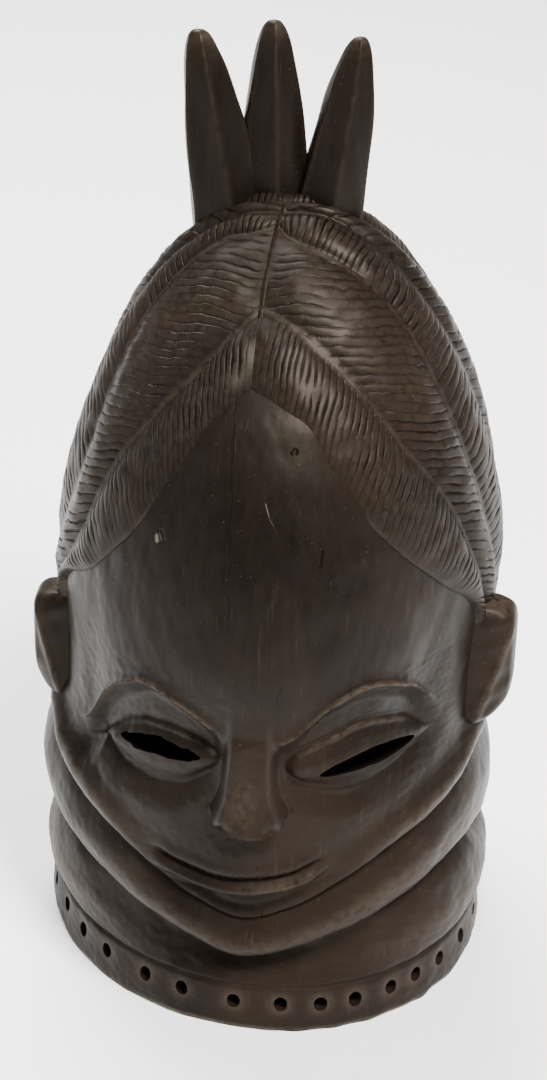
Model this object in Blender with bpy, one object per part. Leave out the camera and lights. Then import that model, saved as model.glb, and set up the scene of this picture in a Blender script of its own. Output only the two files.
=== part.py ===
"""A carved wooden helmet mask, hollowed from one block, that stands on its pierced rim.

The front looks along -Y, +X is to the viewer's right and +Z is up.
The origin is under the middle of the mask's bounds, level with the rim's underside. All sizes are in metres.
"""

import math

import bmesh
import bpy
import numpy as np
from mathutils import Matrix, Vector

# The block, from the rim's underside to the crown under the hair
CROWN_HEIGHT = 0.351
NECK_HALF_WIDTH = 0.0975
HEAD_HALF_WIDTH = 0.0927
RIM_FRONT_DEPTH = 0.1070
FOREHEAD_DEPTH = 0.1125
BACK_DEPTH = 0.1082

# The rim band and the holes that tie on the raffia
RIM_BAND_HEIGHT = 0.022
RIM_BAND_RELIEF = 0.003
RIM_HOLE_DIAMETER = 0.0064
RIM_HOLE_HEIGHT = 0.0138

# The rings of flesh round the neck
RING_RELIEF = 0.0086
JAW_RELIEF = 0.0055
COLLAR_RECESS = 0.0045
LOWER_RING_RELIEF = 0.0078
RING_CUT = 0.0028

# How far hand carving left the rim's front corners and the sides of the block off true
RIM_SKEW = 0.0036
SIDE_DRIFT = 0.0027

# The hair: the whole cap, its lobes and the ridges between them
HAIR_RELIEF = 0.0038
LOBE_RELIEF = 0.0040
RIDGE_RELIEF = 0.0010
PARTING_RELIEF = 0.0016
PARTING_OFFSET = -0.0065
HAIR_SUNK = 0.006

# The face
BROW_RELIEF = 0.0020
SOCKET_DEPTH = 0.0050
LID_RELIEF = 0.0046
NOSE_RELIEF = 0.0165
NOSE_HALF_WIDTH = 0.0195
LIP_RELIEF = 0.0040
CHEEK_RELIEF = 0.0035
FOREHEAD_RELIEF = 0.0040

# The eyes and the slits that the wearer looks through
SLIT_LENGTHS = (0.043, 0.049)
SLIT_HEIGHT = 0.0092
SLIT_FLARE = 0.5
SLIT_DROP = 0.015

# The ears
EAR_HEIGHTS = (0.053, 0.058)
EAR_REACHES = (0.0178, 0.0200)
EAR_SUNK = 0.012
EAR_THICKNESS = 0.019
EAR_ANGLE = 71.0
EAR_UNEVENNESS = 0.0070

# The three prongs on the crown
PRONG_LENGTHS = (0.0780, 0.0825, 0.0790)
PRONG_WIDTHS = (0.0372, 0.0360, 0.0335)
PRONG_LEANS = (-10.5, -1.6, 8.0)
PRONG_PLACES = (-0.0272, -0.0083, 0.0149)
PRONG_DEPTH = 0.029
PRONG_SET_BACK = 0.010
PRONG_SUNK = 0.030

# The hollow for the head
WALL = 0.0125
CROWN_THICKNESS = 0.060

# How finely the shapes are carved, and the share of the facets that is kept
BODY_COLUMNS = 240
FACE_ROWS = 140
RING_ROWS = 9
BODY_KEPT = 0.056
LOBE_ROWS = 8
HAIR_COLUMNS = 84
HAIR_KEPT = 0.27

# Heights on the head as shares of the crown's height
BROAD = 0.555
NOSE_BASE = 0.327
NOSE_ROOT = 0.455
EYE_LEVELS = (0.403, 0.401)
EAR_LEVEL = 0.431
HAIR_ORIGIN = 0.25
PRONG_FOOT = 0.985

BOTTOM_OVERRUN = 0.02
WOOD_COLOUR = (0.045, 0.033, 0.025, 1.0)

# Carved lines on each half: degrees from the front, and shares of the crown's height
RING_PARTING = (
    (0, 0.108), (15, 0.131), (30, 0.152), (45, 0.168), (60, 0.180), (75, 0.173), (90, 0.158), (180, 0.165),
)
FACE_EDGE = (
    (0, 0.173), (12, 0.193), (25, 0.233), (38, 0.270), (52, 0.289),
    (63, 0.306), (74, 0.332), (95, 0.332), (130, 0.325), (180, 0.320),
)

# Carved lines from the wearer's right to left: degrees, and shares of the crown's height
BROW_LINE = (
    (-54, 0.372), (-44, 0.440), (-36, 0.479), (-27, 0.500), (-16, 0.484), (-7, 0.454), (2, 0.432),
    (11, 0.452), (21, 0.497), (31, 0.512), (42, 0.496), (52, 0.454), (58, 0.420),
)
UPPER_LID = (
    (-52, 0.350), (-41, 0.394), (-36, 0.413), (-29, 0.427), (-22, 0.430), (-10, 0.420), (-6, 0.404),
    (2, 0.380), (9, 0.398), (13, 0.413), (24, 0.434), (32, 0.445), (46, 0.427), (56, 0.392), (62, 0.360),
)
LOWER_LID = (
    (-52, 0.400), (-46, 0.378), (-37, 0.362), (-26, 0.356), (-19, 0.360), (-12, 0.380), (-6, 0.406),
    (2, 0.430), (9, 0.400), (12, 0.384), (16, 0.375), (27, 0.366), (40, 0.375), (52, 0.393), (62, 0.430),
)
MOUTH_LINE = ((-34, 0.276), (-24, 0.257), (-15, 0.243), (-4, 0.236), (10, 0.245), (20, 0.266), (30, 0.292))
SLIT_CENTRES = (-25.0, 33.0)
SLIT_TILTS = (-4.0, 8.0)

# The edges of the lobes of hair, from the parting down to the neck, on the wearer's left and then right
LEFT_LOBES = (
    ((0, 0.845), (8, 0.820), (17, 0.768), (24, 0.719), (32, 0.673), (41, 0.631), (50, 0.592), (59, 0.562),
     (65, 0.548), (70, 0.525), (73, 0.480)),
    ((0, 0.918), (6, 0.907), (18, 0.877), (26, 0.848), (34, 0.808), (44, 0.751), (50, 0.701), (58, 0.633),
     (63, 0.590), (70, 0.548), (76, 0.500), (80, 0.450)),
    ((0, 0.985), (9, 0.973), (32, 0.960), (47, 0.927), (57, 0.881), (62, 0.840), (66, 0.784), (69, 0.722),
     (72, 0.665), (76, 0.610), (82, 0.540), (89, 0.460), (97, 0.348)),
)
RIGHT_LOBES = (
    ((0, 0.845), (10, 0.801), (17, 0.751), (25, 0.690), (38, 0.622), (54, 0.568), (64, 0.550), (70, 0.525),
     (73, 0.480)),
    ((0, 0.918), (10, 0.902), (15, 0.884), (23, 0.857), (28, 0.828), (34, 0.795), (39, 0.762), (43, 0.722),
     (46, 0.685), (51, 0.640), (60, 0.592), (69, 0.552), (76, 0.500), (80, 0.450)),
    ((0, 0.985), (20, 0.978), (40, 0.970), (56, 0.940), (62, 0.900), (64, 0.850), (63, 0.795), (62, 0.740),
     (64, 0.690), (68, 0.640), (76, 0.575), (87, 0.470), (97, 0.348)),
)
BACK_LOBES = (
    ((0, 0.993), (60, 0.985), (78, 0.950), (85, 0.900), (89, 0.840), (92, 0.760), (96, 0.680), (101, 0.600),
     (106, 0.500), (111, 0.420), (116, 0.343)),
    ((0, 0.998), (95, 0.980), (107, 0.915), (113, 0.820), (118, 0.720), (123, 0.600), (128, 0.490),
     (132, 0.400), (135, 0.338)),
    ((180, 0.997), (142, 0.970), (140, 0.900), (142, 0.800), (146, 0.680), (150, 0.550), (153, 0.430),
     (155, 0.334)),
    ((180, 0.985), (180, 0.960), (180, 0.900), (180, 0.800), (180, 0.680), (180, 0.550), (180, 0.430),
     (180, 0.331)),
)

# Where the rim's holes are bored: degrees from the front, unevenly at the face as a hand set them
FACE_HOLES = (-63, -52, -41, -27, -16, -2, 10, 20, 29, 39, 47, 56, 67)
BACK_HOLE_COUNT = 19


def smooth_step(low, high, value):
    """0 below low, 1 above high, and a smooth rise between them."""
    share = np.clip((value - low) / (high - low), 0.0, 1.0)
    return share * share * (3.0 - 2.0 * share)


def hump(value, centre, width):
    """A soft bump that is 1 at the centre and fades over the width."""
    return np.exp(-(((value - centre) / width) ** 2))


def curve_through(stations, where):
    """A smooth curve that passes through each (place, value) and never overshoots."""
    places, values = np.array(stations, float).T
    gaps = np.diff(places)
    slopes = np.diff(values) / gaps
    tangents = np.zeros(len(places))
    same_way = slopes[:-1] * slopes[1:] > 0.0
    inner = 2.0 * slopes[:-1] * slopes[1:] / np.where(same_way, slopes[:-1] + slopes[1:], 1.0)
    tangents[1:-1] = np.where(same_way, inner, 0.0)
    tangents[-1] = slopes[-1]
    span = np.clip(np.searchsorted(places, where) - 1, 0, len(gaps) - 1)
    share = np.clip((where - places[span]) / gaps[span], 0.0, 1.0)
    start, end = values[span], values[span + 1]
    leave, arrive = tangents[span] * gaps[span], tangents[span + 1] * gaps[span]
    cubic = 2.0 * start - 2.0 * end + leave + arrive
    square = -3.0 * start + 3.0 * end - 2.0 * leave - arrive
    return ((cubic * share + square) * share + leave) * share + start


def level_curve(stations, angle):
    """A carved line's height at an angle from the front; one that starts at 0 is the same on both sides."""
    turned = np.abs(angle) if stations[0][0] == 0 else angle
    return CROWN_HEIGHT * curve_through(stations, np.degrees(turned))


def cap(height, shoulder, rise, fall):
    """The share of the full girth that is left at a height above the shoulder of the dome."""
    share = np.clip((height / CROWN_HEIGHT - shoulder) / (1.0 - shoulder), 0.0, 1.0)
    return (1.0 - share**rise) ** fall


def girth(height):
    """The half width, front depth and back depth of the uncarved block at a height."""
    share = height / CROWN_HEIGHT
    neck, head = NECK_HALF_WIDTH, HEAD_HALF_WIDTH
    half_width = curve_through(
        ((0.0, 1.024 * neck), (0.10, 0.995 * neck), (0.24, 0.987 * neck), (0.43, 0.99 * head), (BROAD, head)),
        share,
    )
    rim, brow = RIM_FRONT_DEPTH, FOREHEAD_DEPTH
    front = curve_through(
        ((0.0, rim), (0.11, 0.965 * rim), (0.17, 0.985 * rim),
         (0.28, 0.945 * brow), (0.43, 0.975 * brow), (0.50, brow)),
        share,
    )
    back = BACK_DEPTH * curve_through(((0.0, 0.95), (0.12, 0.90), (0.32, 0.91), (0.60, 1.0)), share)
    half_width = half_width * cap(height, BROAD, 1.57, 0.505)
    front = front * cap(height, 0.50, 2.0, 0.74)
    back = back * cap(height, 0.6125, 2.18, 0.758)
    return half_width, front, back


def block_point(angle, height):
    """Points on the uncarved block at angles from the front and heights."""
    half_width, front, back = girth(height)
    depth = np.where(np.cos(angle) > 0.0, front, back)
    share = height / CROWN_HEIGHT
    skew = RIM_SKEW * (0.3 + np.sign(angle)) * np.abs(np.sin(2.0 * angle)) * (np.cos(angle) > 0.0)
    swell = 1.0 + skew * (1.0 - smooth_step(0.02, 0.30, share)) / RIM_FRONT_DEPTH
    drift = curve_through(
        ((0.0, -0.55), (0.15, -0.45), (0.26, -1.0), (0.38, -0.2), (0.5, 0.0), (0.7, 0.3), (1.0, 0.0)), share
    )
    across = half_width * np.sin(angle) * swell + SIDE_DRIFT * drift * np.sin(angle) ** 2
    return np.stack((across, -depth * np.cos(angle) * swell, height), axis=-1)


def block_normal(angle, height):
    """Outward directions of the uncarved block at the same places."""
    step = 2e-3
    low = np.clip(height - step * CROWN_HEIGHT, 0.0, None)
    high = np.clip(height + step * CROWN_HEIGHT, None, CROWN_HEIGHT)
    around = block_point(angle + step, height) - block_point(angle - step, height)
    upward = block_point(angle, high) - block_point(angle, low)
    normal = np.cross(around, upward)
    length = np.linalg.norm(normal, axis=-1, keepdims=True)
    at_pole = length < 1e-10
    return np.where(at_pole, (0.0, 0.0, 1.0), normal / np.where(at_pole, 1.0, length))


def lap(share, crest):
    """A roll of flesh in section: a quick rise from below to its crest, and a slow fall above it."""
    rising = np.clip(share / crest, 0.0, 1.0)
    falling = np.clip((share - crest) / (1.0 - crest), 0.0, 1.0)
    return np.sqrt(1.0 - (1.0 - rising) ** 2) * (1.0 - falling**1.5)


def neck_relief(angle, height):
    """How far the rim band and the two rolls of the neck stand out of the block."""
    jaw = level_curve(FACE_EDGE, angle)
    parting = level_curve(RING_PARTING, angle)
    turned = np.abs(np.degrees(angle))
    upper = np.clip((height - parting) / (jaw - parting), 0.0, 1.0)
    lower = np.clip((height - RIM_BAND_HEIGHT) / (parting - RIM_BAND_HEIGHT), 0.0, 1.0)
    fullness = smooth_step(14.0, 66.0, turned)
    upper_roll = RING_RELIEF * lap(upper, 0.40 + 0.10 * fullness)
    lower_roll = fullness * LOWER_RING_RELIEF * lap(lower, 0.42)
    collar = RIM_BAND_RELIEF * (1.0 - lower) ** 2 - COLLAR_RECESS * hump(lower, 0.9, 0.45)
    ringed = np.where(upper > 0.0, upper_roll, lower_roll + (1.0 - fullness) * collar)
    ringed = ringed - RING_CUT * fullness * hump(height, parting, 0.016 * CROWN_HEIGHT)
    return np.where(height <= RIM_BAND_HEIGHT, RIM_BAND_RELIEF, ringed)


def eye_relief(angle, height):
    """The brows, the hollows under them and the swelling lids, on both sides of the nose."""
    turned = np.abs(np.degrees(angle))
    brow = level_curve(BROW_LINE, angle)
    upper, lower = level_curve(UPPER_LID, angle), level_curve(LOWER_LID, angle)
    along_brow = smooth_step(6.0, 10.0, turned) * (1.0 - smooth_step(50.0, 56.0, turned))
    ridge = BROW_RELIEF * hump(height, brow, 0.010 * CROWN_HEIGHT) * along_brow
    opening = np.clip(upper - lower, 0.0, None) / CROWN_HEIGHT
    up_lid = np.clip((height - lower) / np.maximum(upper - lower, 1e-6), 0.0, 1.0)
    lid = LID_RELIEF * smooth_step(0.0, 0.035, opening) * (1.0 - (2.0 * up_lid - 1.0) ** 2) ** 1.15
    under_brow = smooth_step(0.0, 0.034, (brow - height) / CROWN_HEIGHT)
    above_cheek = smooth_step(-0.045, 0.012, (height - np.minimum(upper, lower)) / CROWN_HEIGHT)
    ends = 1.0 - smooth_step(46.0, 60.0, turned)
    socket = SOCKET_DEPTH * under_brow * above_cheek * ends * smooth_step(4.0, 10.0, turned)
    return ridge - socket + lid


def nose_relief(across, height):
    """A straight wedge of a nose with a flat back, cut off sharply below."""
    root, base = NOSE_ROOT * CROWN_HEIGHT, NOSE_BASE * CROWN_HEIGHT
    down = np.clip((root - height) / (root - base), 0.0, 1.0)
    half_width = NOSE_HALF_WIDTH * (0.52 + 0.30 * down + 0.18 * smooth_step(0.60, 0.95, down))
    side = 1.0 - smooth_step(0.55, 1.10, np.abs(across) / half_width)
    under = smooth_step(base - 0.0032, base + 0.0010, height - 0.004 * (np.abs(across) / half_width) ** 2)
    top = 1.0 - smooth_step(root - 0.006, root + 0.016, height)
    return NOSE_RELIEF * (0.22 + 0.78 * down) * side * under * top


def mouth_relief(angle, across, height):
    """A long closed mouth with thin lips on a slight swelling of the muzzle."""
    turned = np.degrees(angle)
    reach = smooth_step(-25.0, -18.0, turned) * (1.0 - smooth_step(15.0, 21.0, turned))
    line = level_curve(MOUTH_LINE, angle)
    muzzle = 0.0042 * hump(across, 0.0, 0.032) * hump(height, line + 0.009, 0.014)
    lower_lip = LIP_RELIEF * hump(height, line - 0.0050, 0.0040) * reach
    upper_lip = 0.45 * LIP_RELIEF * hump(height, line + 0.0042, 0.0040) * reach
    parted = 0.45 * LIP_RELIEF * hump(height, line, 0.0030) * reach
    return muzzle + lower_lip + upper_lip - parted


def face_relief(angle, across, height):
    """The forehead, eyes, nose, cheeks, mouth and the rolled edge of the jaw."""
    share = height / CROWN_HEIGHT
    above_jaw = height - level_curve(FACE_EDGE, angle)
    spread = 0.026 + 0.28 * np.clip(height - NOSE_ROOT * CROWN_HEIGHT, 0.0, None)
    forehead = FOREHEAD_RELIEF * hump(across, 0.0, spread) * smooth_step(0.45, 0.54, share)
    cheek = CHEEK_RELIEF * hump(np.abs(across), 0.052, 0.026) * hump(share, 0.320, 0.048)
    temple = 0.003 * hump(np.abs(across), 0.094, 0.014) * hump(share, 0.46, 0.09)
    rolled = JAW_RELIEF * smooth_step(8.0, 40.0, np.degrees(np.abs(angle))) * hump(above_jaw, 0.004, 0.009)
    tuck = 0.003 * hump(across, 0.0, 0.040) * hump(above_jaw, 0.0065, 0.004)
    nose = nose_relief(across - 0.014 * RIM_FRONT_DEPTH, height)
    features = eye_relief(angle, height) + nose + mouth_relief(angle, across, height)
    return 0.0035 + forehead + cheek - temple + rolled - tuck + features


def body_relief(angle, height):
    """How far the face and the neck stand out of the block; none of this is carved under the hair."""
    in_front = 1.0 - smooth_step(76.0, 100.0, np.degrees(np.abs(angle)))
    under_hair = 1.0 - smooth_step(0.80, 0.90, height / CROWN_HEIGHT)
    face = face_relief(angle, angle * RIM_FRONT_DEPTH, height) * in_front * under_hair
    return np.where(height < level_curve(FACE_EDGE, angle) - 1e-7, neck_relief(angle, height), face)


def body_point(angle, height):
    """Points on the finished face and neck."""
    return block_point(angle, height) + block_normal(angle, height) * body_relief(angle, height)[..., None]


def body_rows(angle):
    """Heights of the rows at each angle; the same rows always follow the carved lines of the neck."""
    jaw = level_curve(FACE_EDGE, angle)
    parting = level_curve(RING_PARTING, angle)
    band = np.full_like(angle, RIM_BAND_HEIGHT)
    rows = [np.zeros_like(angle), band, band + 0.0004]
    fine = np.linspace(0.0, 1.0, RING_ROWS + 1)[1:] ** 1.15
    rows += [band + (parting - band) * share for share in fine]
    rows += [parting + (jaw - parting) * max(share, 0.04) for share in np.concatenate(([0.01], fine[:-1]))]
    rows += [jaw - 0.0004, jaw]
    rising = 0.5 * np.pi * (np.arange(1, FACE_ROWS + 1) / FACE_ROWS) ** 1.5
    rows += [jaw + (CROWN_HEIGHT - jaw) * np.sin(share) for share in rising]
    return np.array(rows)


def hair_directions(stations, side, along):
    """A lobe's edge as directions from the middle of the head, at shares of its length."""
    angles, shares = np.array(stations, float).T
    lift = (shares - HAIR_ORIGIN) / (1.0 - HAIR_ORIGIN)
    flat = np.sqrt(np.clip(1.0 - lift**2, 0.0, None))
    turned = np.radians(angles) * side
    places = np.stack((flat * np.sin(turned), -flat * np.cos(turned), lift), axis=-1)
    steps = np.linalg.norm(np.diff(places, axis=0), axis=1)
    lengths = np.concatenate(([0.0], np.cumsum(steps))) / steps.sum()
    return np.stack([curve_through(np.stack((lengths, axis), axis=-1), along) for axis in places.T], axis=-1)


def hair_point(along, lobe, relief):
    """Points on the hair: how far along a lobe, left of the parting below 0, and how far over the lobes."""
    side = np.where(along < 0.0, -1.0, 1.0)
    lines = []
    for left, right in zip(LEFT_LOBES + BACK_LOBES, RIGHT_LOBES + BACK_LOBES):
        seen_right = hair_directions(left, 1.0, np.abs(along))
        seen_left = hair_directions(right, -1.0, np.abs(along))
        lines.append(np.where(side[:, None] > 0.0, seen_right, seen_left))
    lines = np.array(lines)
    first = np.clip(lobe.astype(int), 0, len(lines) - 2)
    over = (lobe - first)[:, None]
    columns = np.arange(len(lobe))
    direction = lines[first, columns] * (1.0 - over) + lines[first + 1, columns] * over
    direction /= np.linalg.norm(direction, axis=-1, keepdims=True)
    in_front = smooth_step(-0.2, 0.6, -direction[:, 1]) * np.clip(1.0 - np.abs(direction[:, 0]), 0.0, 1.0)
    direction[:, 0] += PARTING_OFFSET / RIM_FRONT_DEPTH * in_front
    direction /= np.linalg.norm(direction, axis=-1, keepdims=True)
    angle = np.arctan2(direction[:, 0], -direction[:, 1])
    height = CROWN_HEIGHT * (HAIR_ORIGIN + (1.0 - HAIR_ORIGIN) * np.clip(direction[:, 2], -1.0, 1.0))
    outward = np.where(relief[:, None] > 0.0, block_normal(angle, height), direction)
    return block_point(angle, height) + outward * relief[:, None]


def hair_relief(along, lobe):
    """The raised hair: lobes that sweep back from the parting, with a thin ridge between each two."""
    count = len(LEFT_LOBES) + len(BACK_LOBES) - 1
    over = lobe - np.clip(lobe.astype(int), 0, count - 1)
    pillow = np.clip(1.0 - np.abs(2.0 * over - 1.0) ** 2.2, 0.0, 1.0) ** 0.75
    at_edge = hump(np.minimum(over, 1.0 - over), 0.0, 0.035)
    inner_edge = (lobe > 0.5) & (lobe < count - 0.5)
    starts = smooth_step(0.0, 0.10, np.abs(along))
    parting = PARTING_RELIEF * hump(np.abs(along), 0.0, 0.010) * (lobe < 4.0)
    ridge = RIDGE_RELIEF * at_edge * inner_edge
    return HAIR_RELIEF + LOBE_RELIEF * pillow * (0.45 + 0.55 * starts) + ridge + parting


def add_object(name, mesh, collection):
    """A new object that holds a mesh, in a collection."""
    made = bpy.data.objects.new(name, mesh)
    collection.objects.link(made)
    return made


def mesh_from(bm, name):
    """A mesh from a bmesh, with its faces turned outwards."""
    bmesh.ops.recalc_face_normals(bm, faces=bm.faces)
    mesh = bpy.data.meshes.new(name)
    bm.to_mesh(mesh)
    bm.free()
    return mesh


def shape_grid(columns, rows, place):
    """A closed skin: a grid wrapped round the axis, with its seam joined and both ends closed."""
    bm = bmesh.new()
    bmesh.ops.create_grid(bm, x_segments=columns, y_segments=rows, size=0.5)
    flat = np.array([vert.co for vert in bm.verts])
    placed = place(flat[:, 0] + 0.5, flat[:, 1] + 0.5)
    for vert, position in zip(bm.verts, placed):
        vert.co = position
    bmesh.ops.remove_doubles(bm, verts=bm.verts, dist=2e-5)
    bmesh.ops.holes_fill(bm, edges=[edge for edge in bm.edges if edge.is_boundary])
    return bm


def carve_body(collection):
    """The carved block: neck and face, with a plain dome for the hair, still solid inside."""

    def place(column, row):
        turn = 2.0 * np.pi * column - np.pi
        angle = turn - 0.42 * np.sin(turn)
        rows = body_rows(angle)
        number = np.rint(row * (len(rows) - 1)).astype(int)
        height = rows[number, np.arange(len(angle))]
        point = body_point(angle, height)
        point[number == len(rows) - 1] = (0.0, 0.0, CROWN_HEIGHT)
        return point

    row_count = len(body_rows(np.zeros(1))) - 1
    mesh = mesh_from(shape_grid(BODY_COLUMNS, row_count, place), "helmet_mask")
    body = add_object("helmet_mask", mesh, collection)
    thinned = body.modifiers.new("kept_facets", "DECIMATE")
    thinned.ratio = BODY_KEPT
    return body


def make_hair(collection):
    """The cap of hair: a carved outer skin and a plain inner one that is sunk in the block."""
    lobes = len(LEFT_LOBES) + len(BACK_LOBES) - 1
    bm = bmesh.new()
    for outer in (True, False):
        grid = bmesh.new()
        bmesh.ops.create_grid(grid, x_segments=HAIR_COLUMNS, y_segments=lobes * LOBE_ROWS, size=1.0)
        flat = np.array([vert.co for vert in grid.verts])
        along = flat[:, 0]
        lobe = (flat[:, 1] + 1.0) / 2.0 * lobes
        lobe = np.where((lobe > 1e-6) & (lobe < 1.5 / LOBE_ROWS), 0.35 * lobe, lobe)
        at_rim = (np.abs(along) > 1.0 - 1e-6) | (lobe < 1e-6)
        raised = np.where(at_rim | (not outer), -HAIR_SUNK, hair_relief(along, lobe))
        for vert, position in zip(grid.verts, hair_point(along, lobe, raised)):
            vert.co = position
        piece = bpy.data.meshes.new("hair_skin")
        grid.to_mesh(piece)
        grid.free()
        bm.from_mesh(piece)
    bmesh.ops.remove_doubles(bm, verts=bm.verts, dist=2e-5)
    hair = add_object("hair", mesh_from(bm, "hair"), collection)
    thinned = hair.modifiers.new("kept_facets", "DECIMATE")
    thinned.ratio = HAIR_KEPT
    return hair


def faceted(angle, sides, softness):
    """The radius of a rounded polygon with that many sides, 1 at its corners."""
    sector = 2.0 * np.pi / sides
    within = (angle % sector) - sector / 2.0
    flat = math.cos(sector / 2.0) / np.cos(within)
    return flat * (1.0 - softness) + softness


def make_prong(name, foot, length, width, lean, collection):
    """One tapering prong with long knife facets and a round tip."""

    def place(column, row):
        turn = 2.0 * np.pi * column
        height = length - (length + PRONG_SUNK) * (1.0 - row) ** 2
        taper = np.clip(1.0 - height / length, 0.0, 1.15) ** 0.38
        edge = faceted(turn + 0.35, 6, 0.25)
        wide = 0.5 * width * taper * edge * np.cos(turn)
        deep = 0.5 * PRONG_DEPTH * taper * edge * np.sin(turn)
        sway = math.tan(lean) * height
        return np.stack((foot.x + wide + sway, foot.y + deep, foot.z + height), axis=-1)

    return add_object(name, mesh_from(shape_grid(15, 8, place), name), collection)


def make_ear(name, side, height, reach, collection):
    """One ear: a blunt flap with a flat top, and a slanting ridge across its front."""
    root = body_point(np.array([side * math.radians(EAR_ANGLE)]), np.array([EAR_LEVEL * CROWN_HEIGHT]))[0]
    root += (0.0, 0.5 * EAR_THICKNESS, 0.5 * EAR_UNEVENNESS * side)

    def place(column, row):
        turn = 2.0 * np.pi * column
        up = np.sin(np.pi * (row - 0.5))
        rounding = (1.0 - np.abs(up) ** 7) ** 0.5
        outline = 0.18 + 0.82 * (1.0 - np.where(up < 0.0, np.abs(up) ** 3.0, up**9)) ** 0.5
        lobed = np.abs(np.cos(turn)) ** 0.5 * np.sign(np.cos(turn))
        thick = np.abs(np.sin(turn)) ** 0.5 * np.sign(np.sin(turn)) * (0.72 + 0.28 * rounding)
        across = np.where(lobed > 0.0, reach * outline, EAR_SUNK) * lobed
        ridge = 1.0 - np.abs(across / reach - 0.62 - 0.45 * up)
        folded = 0.22 * EAR_THICKNESS * np.clip(ridge, 0.0, 1.0) * np.clip(-thick, 0.0, 1.0)
        deep = 0.5 * EAR_THICKNESS * thick - folded + 0.25 * across
        return np.stack((root[0] + side * across, root[1] + deep, root[2] + 0.5 * height * up), axis=-1)

    return add_object(name, mesh_from(shape_grid(16, 9, place), name), collection)


def make_hollow(collection):
    """The space for the head, a wall's thickness inside the block, open below."""

    def place(column, row):
        angle = 2.0 * np.pi * column - np.pi
        share = np.sin(0.5 * np.pi * row)
        top = CROWN_HEIGHT - CROWN_THICKNESS
        half_width, front, back = girth(share * CROWN_HEIGHT)
        depth = np.where(np.cos(angle) > 0.0, front, back)
        thin = np.clip(1.0 - WALL / np.maximum(half_width, WALL), 0.35, 1.0)
        height = np.where(row < 1e-6, -BOTTOM_OVERRUN, share * top)
        point = np.stack((thin * half_width * np.sin(angle), -thin * depth * np.cos(angle), height), axis=-1)
        return np.where((row > 1.0 - 1e-6)[:, None], (0.0, 0.0, top), point)

    hollow = add_object("hollow_cutter", mesh_from(shape_grid(26, 12, place), "hollow_cutter"), collection)
    return hollow


def make_eye_slit(name, number, collection):
    """An almond-shaped blade that passes through the wall at one eye."""
    angle = math.radians(SLIT_CENTRES[number])
    level = EYE_LEVELS[number] * CROWN_HEIGHT
    tilt = math.radians(SLIT_TILTS[number]) * math.copysign(1.0, angle)
    on_skin = body_point(np.array([angle]), np.array([level]))[0]
    through = 2.4 * WALL
    bm = bmesh.new()
    bmesh.ops.create_cone(
        bm, cap_ends=True, segments=16, radius1=0.5, radius2=0.5, depth=2.0 * through,
        matrix=Matrix.Rotation(math.radians(90.0), 4, "X"),
    )
    for vert in bm.verts:
        bow = 1.0 - 0.25 * (2.0 * vert.co.x) ** 2
        inward = vert.co.y / through
        vert.co.x *= SLIT_LENGTHS[number]
        vert.co.z *= SLIT_HEIGHT * bow * (1.0 + SLIT_FLARE * inward)
        vert.co.z -= SLIT_DROP * inward
    turned = Matrix.Rotation(angle, 4, "Z") @ Matrix.Rotation(-tilt, 4, "Y")
    bm.transform(Matrix.Translation(Vector(on_skin)) @ turned)
    return add_object(name, mesh_from(bm, name), collection)


def make_rim_holes(collection):
    """Round drills that point at the axis, set round the rim band."""
    first, last = FACE_HOLES[0] + 360.0, FACE_HOLES[-1]
    pitch = (first - last) / (BACK_HOLE_COUNT + 1)
    behind = [last + pitch * (number + 1) for number in range(BACK_HOLE_COUNT)]
    bm = bmesh.new()
    for angle in np.radians(list(FACE_HOLES) + behind):
        skin = block_point(np.array([angle]), np.array([RIM_HOLE_HEIGHT]))[0]
        inward = Vector((-skin[0], -skin[1], 0.0)).normalized()
        centre = Vector(skin) + inward * 0.5 * WALL
        turned = inward.to_track_quat("Z", "Y").to_matrix().to_4x4()
        radius, depth = RIM_HOLE_DIAMETER / 2.0, 2.6 * WALL + 2.0 * RIM_BAND_RELIEF
        bmesh.ops.create_cone(
            bm, cap_ends=True, segments=8, radius1=radius, radius2=radius, depth=depth,
            matrix=Matrix.Translation(centre) @ turned,
        )
    return add_object("rim_hole_cutter", mesh_from(bm, "rim_hole_cutter"), collection)


def combine(body, other, operation):
    """Joins another shape to the body, or cuts it away, and keeps that shape as a hidden helper."""
    step = body.modifiers.new(f"{operation.lower()}_{other.name}", "BOOLEAN")
    step.operation = operation
    step.object = other
    step.solver = "EXACT"
    other.hide_render = True
    other.display_type = "WIRE"


def wood_material():
    """Dark, oiled and smoke-blackened wood."""
    wood = bpy.data.materials.new("dark_wood")
    wood.use_nodes = True
    shader = wood.node_tree.nodes["Principled BSDF"]
    shader.inputs["Base Color"].default_value = WOOD_COLOUR
    shader.inputs["Roughness"].default_value = 0.42
    shader.inputs["Metallic"].default_value = 0.0
    return wood


def centre_on_origin(body, objects):
    """Moves everything so that the origin is under the middle of the finished mask."""
    bpy.context.view_layer.update()
    finished = body.evaluated_get(bpy.context.evaluated_depsgraph_get())
    corners = np.array([corner[:] for corner in finished.bound_box])
    middle = (corners.min(axis=0) + corners.max(axis=0)) / 2.0
    for item in objects:
        item.location.x -= middle[0]
        item.location.y -= middle[1]


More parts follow.
